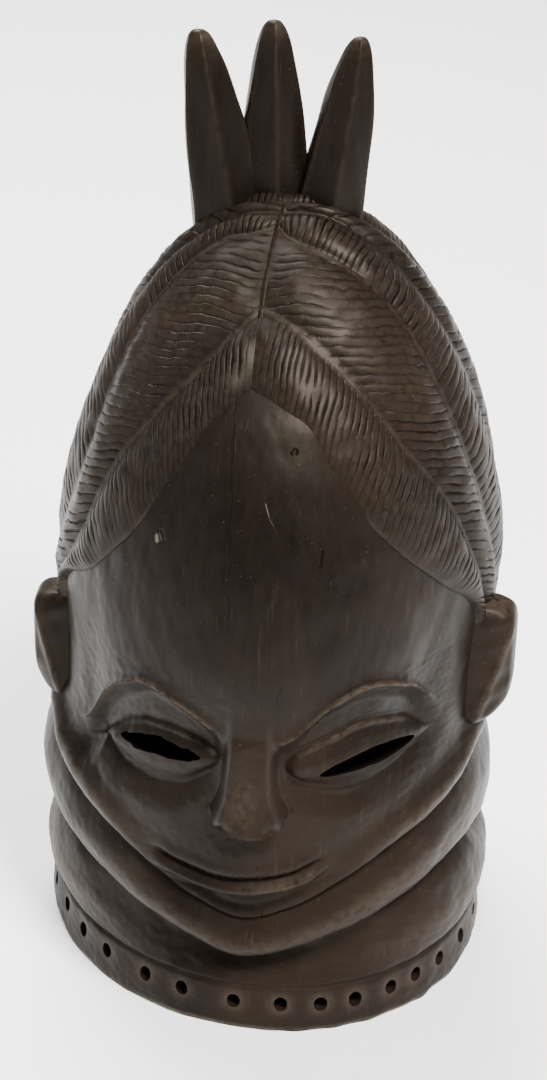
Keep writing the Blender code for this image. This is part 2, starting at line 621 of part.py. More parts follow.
def build():
    """Builds the mask as one solid."""
    for old in list(bpy.data.objects):
        bpy.data.objects.remove(old)
    mask_parts = bpy.data.collections.new("Helmet mask")
    helpers = bpy.data.collections.new("Cutters")
    for group in (mask_parts, helpers):
        bpy.context.scene.collection.children.link(group)

    body = carve_body(mask_parts)
    body.data.materials.append(wood_material())

    combine(body, make_hair(helpers), "UNION")
    prongs = zip(PRONG_PLACES, PRONG_LENGTHS, PRONG_WIDTHS, PRONG_LEANS)
    for number, (place, length, width, lean) in enumerate(prongs):
        foot = Vector((place, PRONG_SET_BACK, PRONG_FOOT * CROWN_HEIGHT))
        foot.y += 0.15 * PRONG_DEPTH * (number == 1)
        prong = make_prong(f"prong_{number + 1}", foot, length, width, math.radians(lean), helpers)
        combine(body, prong, "UNION")
    for side, name, height, reach in zip((-1, 1), ("ear_right", "ear_left"), EAR_HEIGHTS, EAR_REACHES):
        combine(body, make_ear(name, side, height, reach, helpers), "UNION")
    combine(body, make_hollow(helpers), "DIFFERENCE")
    for number, name in enumerate(("slit_right", "slit_left")):
        combine(body, make_eye_slit(name, number, helpers), "DIFFERENCE")
    combine(body, make_rim_holes(helpers), "DIFFERENCE")
    centre_on_origin(body, [*mask_parts.objects, *helpers.objects])


build()
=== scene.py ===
"""A carved wooden helmet mask in fine relief, on a pale floor under soft studio light.

Everything is carved round the rim's centre in metres, with the face along -Y and +Z up, and is then
moved back by the small distance that brings the middle of the mask's bounds over the frame's origin.
"""

import sys
import logging
import math
from dataclasses import dataclass, field
from enum import Enum
from typing import Callable, Sequence

import bmesh
import bpy
import numpy as np
from mathutils import Matrix, Vector


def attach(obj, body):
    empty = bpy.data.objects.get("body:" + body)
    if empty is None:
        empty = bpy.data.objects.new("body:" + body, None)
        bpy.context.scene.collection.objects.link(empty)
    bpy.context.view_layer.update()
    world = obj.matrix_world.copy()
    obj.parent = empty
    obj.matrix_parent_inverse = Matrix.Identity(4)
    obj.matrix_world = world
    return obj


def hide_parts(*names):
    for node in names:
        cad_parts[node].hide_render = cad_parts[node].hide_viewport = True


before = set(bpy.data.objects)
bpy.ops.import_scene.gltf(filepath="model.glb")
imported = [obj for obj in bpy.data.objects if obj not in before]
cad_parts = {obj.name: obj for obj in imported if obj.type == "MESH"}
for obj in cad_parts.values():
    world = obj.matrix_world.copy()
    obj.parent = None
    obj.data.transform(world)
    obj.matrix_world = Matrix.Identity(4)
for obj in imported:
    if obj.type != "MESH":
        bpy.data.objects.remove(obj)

Array = np.ndarray
Colour = tuple[float, float, float]
Triple = tuple[float, float, float]
Socket = bpy.types.NodeSocket
Value = Socket | float | Colour
Stations = Sequence[tuple[float, float]]
Placement = Callable[[Array, Array], tuple[Array, dict[str, Array]]]

CAD_NODE = "helmet_mask"
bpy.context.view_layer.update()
log = logging.getLogger("helmet_mask")


class Side(Enum):
    """The wearer's two sides, as the sign of X."""

    RIGHT = -1
    LEFT = 1


class Surface(Enum):
    """Vertex attributes that tell the finish what a hand, a tool or time did at a place, and where to paint
    highlight and shade.
    """

    WEAR_AND_HIGHLIGHT = "wear_and_highlight"
    BARE_AND_HIGHLIGHT = "bare_and_highlight"
    STROKE = "stroke"
    STROKE_DEPTH = "stroke_depth"
    CRACK = "crack"
    CRACK_DEPTH = "crack_depth"


def smooth_step(low: float, high: float, value: Array) -> Array:
    """0 below low, 1 above high, and a smooth rise between them."""
    share = np.clip((value - low) / (high - low), 0.0, 1.0)
    return share * share * (3.0 - 2.0 * share)


def hump(value: Array, centre: Array | float, width: float) -> Array:
    """A soft bump that is 1 at the centre and fades over the width."""
    return np.exp(-(((value - centre) / width) ** 2))


def curve_through(stations: Stations | Array, where: Array) -> Array:
    """A smooth curve that passes through each (place, value) and never overshoots.

    Args:
        stations: The places, rising, and the value at each.
        where: The places to read.

    Returns:
        The curve's values there.
    """
    places, values = np.array(stations, float).T
    gaps = np.diff(places)
    slopes = np.diff(values) / gaps
    tangents = np.zeros(len(places))
    same_way = slopes[:-1] * slopes[1:] > 0.0
    inner = 2.0 * slopes[:-1] * slopes[1:] / np.where(same_way, slopes[:-1] + slopes[1:], 1.0)
    tangents[1:-1] = np.where(same_way, inner, 0.0)
    tangents[-1] = slopes[-1]
    span = np.clip(np.searchsorted(places, where) - 1, 0, len(gaps) - 1)
    share = np.clip((where - places[span]) / gaps[span], 0.0, 1.0)
    start, end = values[span], values[span + 1]
    leave, arrive = tangents[span] * gaps[span], tangents[span + 1] * gaps[span]
    cubic = 2.0 * start - 2.0 * end + leave + arrive
    square = -3.0 * start + 3.0 * end - 2.0 * leave - arrive
    return ((cubic * share + square) * share + leave) * share + start


def unevenness(points: Array, size: float, seed: int) -> Array:
    """Smooth seeded waves in space, about -1 to 1, as a hand leaves on carved wood.

    Args:
        points: Places in metres.
        size: The waves' usual length in metres.
        seed: Which set of waves.

    Returns:
        The wave at each place.
    """
    rng = np.random.default_rng(seed)
    total = np.zeros(points.shape[:-1])
    for _ in range(14):
        heading = rng.normal(size=3)
        heading *= 2.0 * math.pi * rng.uniform(0.6, 1.5) / (size * np.linalg.norm(heading))
        total += np.sin(points @ heading + rng.uniform(0.0, 2.0 * math.pi))
    return total / 4.0


@dataclass
class Block:
    """The uncarved block: a neck and a domed head, round the axis."""

    crown_height: float = 0.351
    neck_half_width: float = 0.0975
    head_half_width: float = 0.0927
    rim_front_depth: float = 0.1070
    forehead_depth: float = 0.1125
    back_depth: float = 0.1082
    broad: float = 0.555
    rim_skew: float = 0.0036
    side_drift: float = 0.0027
    shift: Triple = (-0.00087, 0.00616, 0.0)
    wall: float = 0.0125
    crown_thickness: float = 0.060

    def cap(self, share: Array, shoulder: float, rise: float, fall: float) -> Array:
        """The share of the girth that is left above the shoulder of the dome."""
        above = np.clip((share - shoulder) / (1.0 - shoulder), 0.0, 1.0)
        return (1.0 - above**rise) ** fall

    def girth(self, height: Array) -> tuple[Array, Array, Array]:
        """How broad and how deep the block is.

        Args:
            height: Heights above the rim's underside in metres.

        Returns:
            The half width, the front depth and the back depth there.
        """
        share = height / self.crown_height
        neck, head = self.neck_half_width, self.head_half_width
        half_width = curve_through(
            (
                (0.0, 1.024 * neck), (0.10, 0.995 * neck), (0.24, 0.987 * neck),
                (0.43, 0.99 * head), (self.broad, head),
            ),
            share,
        )
        rim, brow, back = self.rim_front_depth, self.forehead_depth, self.back_depth
        front = curve_through(
            ((0.0, rim), (0.11, 0.965 * rim), (0.17, 0.985 * rim), (0.28, 0.945 * brow), (0.43, 0.975 * brow),
             (0.50, brow)),
            share,
        )
        rear = curve_through(
            ((0.0, 0.95 * back), (0.12, 0.90 * back), (0.32, 0.91 * back), (0.60, back)), share
        )
        half_width = half_width * self.cap(share, self.broad, 1.57, 0.505)
        front = front * self.cap(share, 0.50, 2.0, 0.74)
        return half_width, front, rear * self.cap(share, 0.6125, 2.18, 0.758)

    def point(self, angle: Array, height: Array) -> Array:
        """Points on the block, as far off true as the hand left them.

        Args:
            angle: Angles from the front in radians, rising towards +X.
            height: Heights above the rim's underside in metres.

        Returns:
            The points, with the axis last.
        """
        half_width, front, back = self.girth(height)
        ahead = np.cos(angle) > 0.0
        share = height / self.crown_height
        skew = self.rim_skew * (0.3 + np.sign(angle)) * np.abs(np.sin(2.0 * angle)) * ahead
        swell = 1.0 + skew * (1.0 - smooth_step(0.02, 0.30, share)) / self.rim_front_depth
        drift = self.side_drift * curve_through(
            ((0.0, -0.55), (0.15, -0.45), (0.26, -1.0), (0.38, -0.2), (0.5, 0.0), (0.7, 0.3), (1.0, 0.0)),
            share,
        )
        across = half_width * np.sin(angle) * swell + drift * np.sin(angle) ** 2
        return np.stack((across, -np.where(ahead, front, back) * np.cos(angle) * swell, height), axis=-1)

    def normal(self, angle: Array, height: Array) -> Array:
        """Outward directions on the block.

        Args:
            angle: Angles from the front in radians, rising towards +X.
            height: Heights above the rim's underside in metres.

        Returns:
            Unit vectors, straight up at the pole.
        """
        step = 2e-3
        low = np.clip(height - step * self.crown_height, 0.0, None)
        high = np.clip(height + step * self.crown_height, None, self.crown_height)
        around = self.point(angle + step, height) - self.point(angle - step, height)
        normal = np.cross(around, self.point(angle, high) - self.point(angle, low))
        length = np.linalg.norm(normal, axis=-1, keepdims=True)
        at_pole = length < 1e-10
        return np.where(at_pole, (0.0, 0.0, 1.0), normal / np.where(at_pole, 1.0, length))

    def inside(self, angle: Array, height: Array) -> Array:
        """Points on the wall of the hollow, hewn in short facets.

        Args:
            angle: Angles from the front in radians, rising towards +X.
            height: Heights above the rim's underside in metres.

        Returns:
            The points, with the axis last.
        """
        top = self.crown_height - self.crown_thickness
        half_width, front, back = self.girth(np.clip(height, 0.0, top) / top * self.crown_height)
        depth = np.where(np.cos(angle) > 0.0, front, back)
        thin = np.clip(1.0 - self.wall / np.maximum(half_width, self.wall), 0.35, 1.0)
        across, ahead = thin * half_width * np.sin(angle), thin * depth * np.cos(angle)
        point = np.stack((across, -ahead, height), axis=-1)
        hewn = 0.0012 * np.abs(unevenness(point, 0.030, 31)) + 0.0004 * unevenness(point, 0.008, 32)
        point[..., :2] *= 1.0 - (hewn / 0.09)[..., None]
        return point


@dataclass
class Lines:
    """The carved lines, as degrees from the front and shares of the crown's height."""

    block: Block
    ring_parting: Stations = (
        (0, 0.108), (15, 0.131), (30, 0.152), (45, 0.168), (60, 0.180), (75, 0.173), (90, 0.158),
        (180, 0.165),
    )
    face_edge: Stations = (
        (0, 0.173), (12, 0.193), (25, 0.233), (38, 0.270), (52, 0.289),
        (63, 0.306), (74, 0.332), (95, 0.332), (130, 0.325), (180, 0.320),
    )
    brow: Stations = (
        (-54, 0.372), (-44, 0.440), (-36, 0.479), (-27, 0.500), (-16, 0.484), (-7, 0.454), (2, 0.432),
        (11, 0.452), (21, 0.497), (31, 0.512), (42, 0.496), (52, 0.454), (58, 0.420),
    )
    upper_lid: Stations = (
        (-52, 0.350), (-41, 0.394), (-36, 0.413), (-29, 0.427), (-22, 0.430), (-10, 0.420), (-6, 0.404),
        (2, 0.380), (9, 0.398), (13, 0.413), (24, 0.434), (32, 0.445), (46, 0.427), (56, 0.392), (62, 0.360),
    )
    lower_lid: Stations = (
        (-52, 0.400), (-46, 0.378), (-37, 0.362), (-26, 0.356), (-19, 0.360), (-12, 0.380), (-6, 0.406),
        (2, 0.430), (9, 0.400), (12, 0.384), (16, 0.375), (27, 0.366), (40, 0.375), (52, 0.393), (62, 0.430),
    )
    mouth: Stations = (
        (-34, 0.276), (-24, 0.257), (-15, 0.243), (-4, 0.236), (10, 0.245), (20, 0.266), (30, 0.292),
    )

    def level(self, stations: Stations, angle: Array) -> Array:
        """A line's height at angles from the front; one that starts at 0 is the same on both sides."""
        turned = np.abs(angle) if stations[0][0] == 0 else angle
        return self.block.crown_height * curve_through(stations, np.degrees(turned))


@dataclass
class Face:
    """The carving of the face: forehead, brows, lids, nose, cheeks, mouth and the rolled jaw."""

    block: Block
    lines: Lines
    brow_relief: float = 0.0020
    socket_depth: float = 0.0050
    lid_relief: float = 0.0046
    nose_relief: float = 0.0158
    nose_half_width: float = 0.0195
    lip_relief: float = 0.0040
    cheek_relief: float = 0.0035
    forehead_relief: float = 0.0040
    jaw_relief: float = 0.0055
    nose_base: float = 0.327
    nose_root: float = 0.455
    nose_turn: float = 0.014
    brow_start_deg: float = 6.0
    brow_end_deg: float = 56.0
    lid_start_deg: float = 9.0
    lid_end_deg: float = 53.0
    mouth_right_deg: float = -26.0
    mouth_left_deg: float = 22.0
    slit_height: float = 0.0092
    slit_flare: float = 0.5
    slit_drop: float = 0.015

    def eyes(self, angle: Array, height: Array) -> Array:
        """Brow arcs, sockets, swelling lids and the thin lines that edge them.

        Args:
            angle: Angles from the front in radians, rising towards +X.
            height: Heights above the rim's underside in metres.

        Returns:
            How far the carving stands out of the block, in metres.
        """
        turned = np.abs(np.degrees(angle))
        brow = self.lines.level(self.lines.brow, angle)
        upper = self.lines.level(self.lines.upper_lid, angle)
        lower = self.lines.level(self.lines.lower_lid, angle)
        start, end = self.brow_start_deg, self.brow_end_deg
        along_brow = smooth_step(start, start + 4.0, turned) * (1.0 - smooth_step(end - 6.0, end, turned))
        arc = 0.5 * hump(height, brow, 0.0034) + 0.6 * hump(height, brow, 0.0011)
        ridge = self.brow_relief * arc * along_brow
        opening = np.clip(upper - lower, 0.0, None)
        up_lid = np.clip((height - lower) / np.maximum(upper - lower, 1e-6), 0.0, 1.0)
        swelling = (1.0 - (2.0 * up_lid - 1.0) ** 2) ** 0.95
        lid = self.lid_relief * smooth_step(0.0, 0.0123, opening) * swelling
        under_brow = smooth_step(0.0, 0.012, brow - height)
        above_cheek = smooth_step(-0.0158, 0.0042, height - np.minimum(upper, lower))
        ends = (1.0 - smooth_step(46.0, 60.0, turned)) * smooth_step(4.0, 10.0, turned)
        start, end = self.lid_start_deg, self.lid_end_deg
        along_lid = smooth_step(start, start + 4.0, turned) * (1.0 - smooth_step(end - 7.0, end, turned))
        upper_line = 0.0010 * hump(height, upper, 0.0010) - 0.0006 * hump(height, upper + 0.0022, 0.0014)
        lower_line = 0.0003 * hump(height, lower, 0.0012) - 0.0006 * hump(height, lower - 0.0022, 0.0016)
        socket = self.socket_depth * under_brow * above_cheek * ends
        return ridge - socket + lid + along_lid * (upper_line + lower_line)

    def nose(self, across: Array, height: Array) -> Array:
        """A straight wedge with a flat back, cut off sharply below, with two shallow nostrils.

        Args:
            across: Distances from the middle of the face in metres.
            height: Heights above the rim's underside in metres.

        Returns:
            How far the carving stands out of the block, in metres.
        """
        root, base = self.nose_root * self.block.crown_height, self.nose_base * self.block.crown_height
        down = np.clip((root - height) / (root - base), 0.0, 1.0)
        half_width = self.nose_half_width * (0.60 + 0.24 * down + 0.16 * smooth_step(0.60, 0.95, down))
        beside = np.abs(across) / half_width
        side = 1.0 - smooth_step(0.58, 1.04, beside)
        under = smooth_step(base - 0.0026, base + 0.0008, height - 0.004 * beside**2)
        top = 1.0 - smooth_step(root - 0.006, root + 0.016, height)
        nostril = 0.0032 * hump(np.abs(across), 0.0108, 0.0034) * hump(height, base + 0.0032, 0.0026)
        wing_fold = 0.0010 * hump(beside, 1.02, 0.10) * smooth_step(0.55, 0.85, down) * under
        return self.nose_relief * (0.22 + 0.78 * down) * side * under * top - nostril - wing_fold

    def lips(self, angle: Array, across: Array, height: Array) -> Array:
        """A long closed mouth: thin lips on a slight swelling, parted by a knife cut.

        Args:
            angle: Angles from the front in radians, rising towards +X.
            across: Distances from the middle of the face in metres.
            height: Heights above the rim's underside in metres.

        Returns:
            How far the carving stands out of the block, in metres.
        """
        turned = np.degrees(angle)
        right, left = self.mouth_right_deg, self.mouth_left_deg
        reach = smooth_step(right, right + 8.0, turned) * (1.0 - smooth_step(left - 7.0, left, turned))
        line = self.lines.level(self.lines.mouth, angle)
        muzzle = 0.0042 * hump(across, 0.0, 0.032) * hump(height, line + 0.009, 0.014)
        lower = self.lip_relief * hump(height, line - 0.0050, 0.0036)
        upper = 0.40 * self.lip_relief * hump(height, line + 0.0040, 0.0040)
        parted = 0.30 * self.lip_relief * hump(height, line, 0.0026)
        parted = parted + 0.0014 * hump(height, line, 0.0008)
        under = 0.0008 * hump(height, line - 0.0106, 0.0018)
        return muzzle + (lower + upper - parted - under) * reach

    def relief(self, angle: Array, height: Array) -> Array:
        """The face with all its features.

        Args:
            angle: Angles from the front in radians, rising towards +X.
            height: Heights above the rim's underside in metres.

        Returns:
            How far the carving stands out of the block, in metres.
        """
        across = angle * self.block.rim_front_depth
        share = height / self.block.crown_height
        above_jaw = height - self.lines.level(self.lines.face_edge, angle)
        turned = np.degrees(np.abs(angle))
        spread = 0.026 + 0.28 * np.clip(height - self.nose_root * self.block.crown_height, 0.0, None)
        above_brows = smooth_step(0.45, 0.54, share)
        forehead = self.forehead_relief * hump(across / spread, 0.0, 1.0) * above_brows
        cheek = self.cheek_relief * hump(np.abs(across), 0.052, 0.026) * hump(share, 0.320, 0.048)
        temple = 0.003 * hump(np.abs(across), 0.094, 0.014) * hump(share, 0.46, 0.09)
        rolled = self.jaw_relief * smooth_step(8.0, 40.0, turned) * hump(above_jaw, 0.004, 0.009)
        tuck = 0.003 * hump(across, 0.0, 0.040) * hump(above_jaw, 0.0065, 0.004)
        in_front = 1.0 - smooth_step(76.0, 100.0, turned)
        under_hair = 1.0 - smooth_step(0.80, 0.90, share)
        nose = self.nose(across - self.nose_turn * self.block.rim_front_depth, height)
        features = self.eyes(angle, height) + nose + self.lips(angle, across, height)
        whole = 0.0035 + forehead + cheek - temple + rolled - tuck + features
        return whole * in_front * under_hair

    def wear_and_highlight(self, angle: Array, height: Array) -> Array:
        """Where the face is painted paler: brows, lids, nose, lip and jaw, partly stain worn by handling and
        partly painted highlight on these raised edges.

        Args:
            angle: Angles from the front in radians, rising towards +X.
            height: Heights above the rim's underside in metres.

        Returns:
            How much paler, from 0 to 1.
        """
        across = angle * self.block.rim_front_depth
        turned = np.degrees(np.abs(angle))
        base = self.nose_base * self.block.crown_height
        on_brow = hump(height, self.lines.level(self.lines.brow, angle), 0.0013)
        on_brow = on_brow * smooth_step(6.0, 10.0, turned) * (1.0 - smooth_step(46.0, 54.0, turned))
        on_lid = hump(height, self.lines.level(self.lines.upper_lid, angle), 0.0010)
        on_lid = on_lid * smooth_step(12.0, 16.0, turned) * (1.0 - smooth_step(42.0, 48.0, turned))
        on_nose = hump(across, 0.0, 0.0075) * hump(height, base + 0.016, 0.016)
        lower_lip = self.lines.level(self.lines.mouth, angle) - 0.0044
        on_lip = hump(height, lower_lip, 0.0024) * hump(across, 0.016, 0.016)
        above_jaw = height - self.lines.level(self.lines.face_edge, angle)
        on_jaw = hump(above_jaw, 0.004, 0.004) * smooth_step(20.0, 45.0, turned)
        rubbed_and_highlight = on_brow + 0.6 * on_lid + 0.4 * on_nose + 0.7 * on_lip + 0.6 * on_jaw
        return np.clip(rubbed_and_highlight, 0.0, 1.0)


@dataclass
class Neck:
    """The carving of the neck: the rim band, the two rolls of flesh and the front collar."""

    block: Block
    lines: Lines
    band_height: float = 0.022
    band_relief: float = 0.003
    ring_relief: float = 0.0086
    lower_ring_relief: float = 0.0078
    ring_cut: float = 0.0028
    collar_recess: float = 0.0045

    @staticmethod
    def lap(share: Array, crest: Array | float) -> Array:
        """A roll in section: a quick rise from below to its crest, and a slow fall above it.

        Args:
            share: How far up the roll, from 0 to 1.
            crest: Where its crest is, from 0 to 1.

        Returns:
            The roll's height, from 0 to 1.
        """
        rising = np.clip(share / crest, 0.0, 1.0)
        falling = np.clip((share - crest) / (1.0 - crest), 0.0, 1.0)
        return np.sqrt(1.0 - (1.0 - rising) ** 2) * (1.0 - falling**1.5)

    def shares(self, angle: Array, height: Array) -> tuple[Array, Array, Array]:
        """How far up the upper and the lower roll a place is, and how full the rolls are there.

        Args:
            angle: Angles from the front in radians, rising towards +X.
            height: Heights above the rim's underside in metres.

        Returns:
            Shares of the upper roll and of the lower roll, and the fullness from 0 to 1.
        """
        jaw = self.lines.level(self.lines.face_edge, angle)
        parting = self.lines.level(self.lines.ring_parting, angle)
        upper = np.clip((height - parting) / (jaw - parting), 0.0, 1.0)
        lower = np.clip((height - self.band_height) / (parting - self.band_height), 0.0, 1.0)
        return upper, lower, smooth_step(14.0, 66.0, np.abs(np.degrees(angle)))

    def relief(self, angle: Array, height: Array) -> Array:
        """The neck with its band, its rolls and its collar.

        Args:
            angle: Angles from the front in radians, rising towards +X.
            height: Heights above the rim's underside in metres.

        Returns:
            How far the carving stands out of the block, in metres.
        """
        upper, lower, fullness = self.shares(angle, height)
        upper_roll = self.ring_relief * self.lap(upper, 0.40 + 0.10 * fullness)
        lower_roll = fullness * self.lower_ring_relief * self.lap(lower, 0.42)
        collar = (1.0 - fullness) * (
            self.band_relief * (1.0 - lower) ** 2 - self.collar_recess * hump(lower, 0.9, 0.45)
        )
        ringed = np.where(upper > 0.0, upper_roll, lower_roll + collar)
        parting = self.lines.level(self.lines.ring_parting, angle)
        cut = self.ring_cut * fullness * hump(height, parting, 0.016 * self.block.crown_height)
        ringed = ringed - cut
        scribed = 0.0011 * hump(height, self.band_height, 0.0009)
        banded = np.where(height <= self.band_height, self.band_relief, ringed)
        return banded - scribed

    def wear_and_highlight(self, angle: Array, height: Array) -> Array:
        """Where the rolls' crests and the bottom edge are painted paler: worn by handling, with painted
        highlight on the crests.

        Args:
            angle: Angles from the front in radians, rising towards +X.
            height: Heights above the rim's underside in metres.

        Returns:
            How much paler, from 0 to 1.
        """
        upper, lower, fullness = self.shares(angle, height)
        crest = hump(upper, 0.36, 0.16) * (upper > 0.0)
        crest = crest + fullness * hump(lower, 0.34, 0.18) * (upper <= 0.0)
        return np.clip(0.55 * crest + 0.7 * (1.0 - smooth_step(0.0, 0.0035, height)), 0.0, 1.0)

    def bare_and_highlight(self, angle: Array, height: Array, point: Array) -> Array:
        """Where the neck is painted pale: stain gone along the standing edge, and a painted highlight on the
        right of the neck where the side light falls.

        Args:
            angle: Angles from the front in radians, rising towards +X.
            height: Heights above the rim's underside in metres.
            point: The same places in space.

        Returns:
            How pale it is painted, from 0 to 1.
        """
        turned = np.degrees(angle)
        broken = smooth_step(-0.3, 0.5, unevenness(point, 0.006, 16))
        edge = (1.0 - smooth_step(0.0006, 0.0030, height)) * (0.25 + 0.75 * hump(turned, -17.0, 9.0))
        # Painted highlight where the side light falls on the lower roll at the right of the neck.
        side_highlight = 0.55 * hump(turned, -59.0, 9.0) * hump(height, 0.032, 0.016)
        return np.clip((edge + side_highlight) * (0.35 + 0.65 * broken), 0.0, 1.0)


LEFT_LOBES = (
    ((0, 0.850), (10, 0.815), (20, 0.765), (30, 0.715), (40, 0.662), (51, 0.613), (58, 0.584), (65, 0.556),
     (70, 0.525), (73, 0.480)),
    ((0, 0.918), (8, 0.909), (23, 0.878), (35, 0.833), (45, 0.776), (55, 0.717), (61, 0.672), (66, 0.615),
     (71, 0.560), (76, 0.500), (80, 0.450)),
    ((0, 0.985), (12, 0.975), (28, 0.964), (47, 0.940), (57, 0.913), (63, 0.872), (66, 0.827), (69, 0.772),
     (72, 0.705), (76, 0.635), (82, 0.555), (89, 0.465), (97, 0.348)),
)
RIGHT_LOBES = (
    ((0, 0.850), (9, 0.814), (20, 0.759), (31, 0.696), (44, 0.628), (52, 0.592), (64, 0.556), (70, 0.525),
     (73, 0.480)),
    ((0, 0.918), (10, 0.898), (20, 0.866), (28, 0.839), (40, 0.783), (46, 0.748), (51, 0.700), (55, 0.648),
     (61, 0.596), (69, 0.552), (76, 0.500), (80, 0.450)),
    ((0, 0.985), (20, 0.979), (46, 0.970), (59, 0.945), (65, 0.905), (67, 0.860), (66, 0.800), (65, 0.745),
     (66, 0.690), (69, 0.640), (76, 0.575), (87, 0.470), (97, 0.348)),
)
BACK_LOBES = (
    ((0, 0.993), (60, 0.985), (78, 0.950), (85, 0.900), (89, 0.840), (92, 0.760), (96, 0.680), (101, 0.600),
     (106, 0.500), (111, 0.420), (116, 0.343)),
    ((0, 0.998), (95, 0.980), (107, 0.915), (113, 0.820), (118, 0.720), (123, 0.600), (128, 0.490),
     (132, 0.400), (135, 0.338)),
    ((180, 0.997), (142, 0.970), (140, 0.900), (142, 0.800), (146, 0.680), (150, 0.550), (153, 0.430),
     (155, 0.334)),
    ((180, 0.985), (180, 0.960), (180, 0.900), (180, 0.800), (180, 0.680), (180, 0.550), (180, 0.430),
     (180, 0.331)),
)


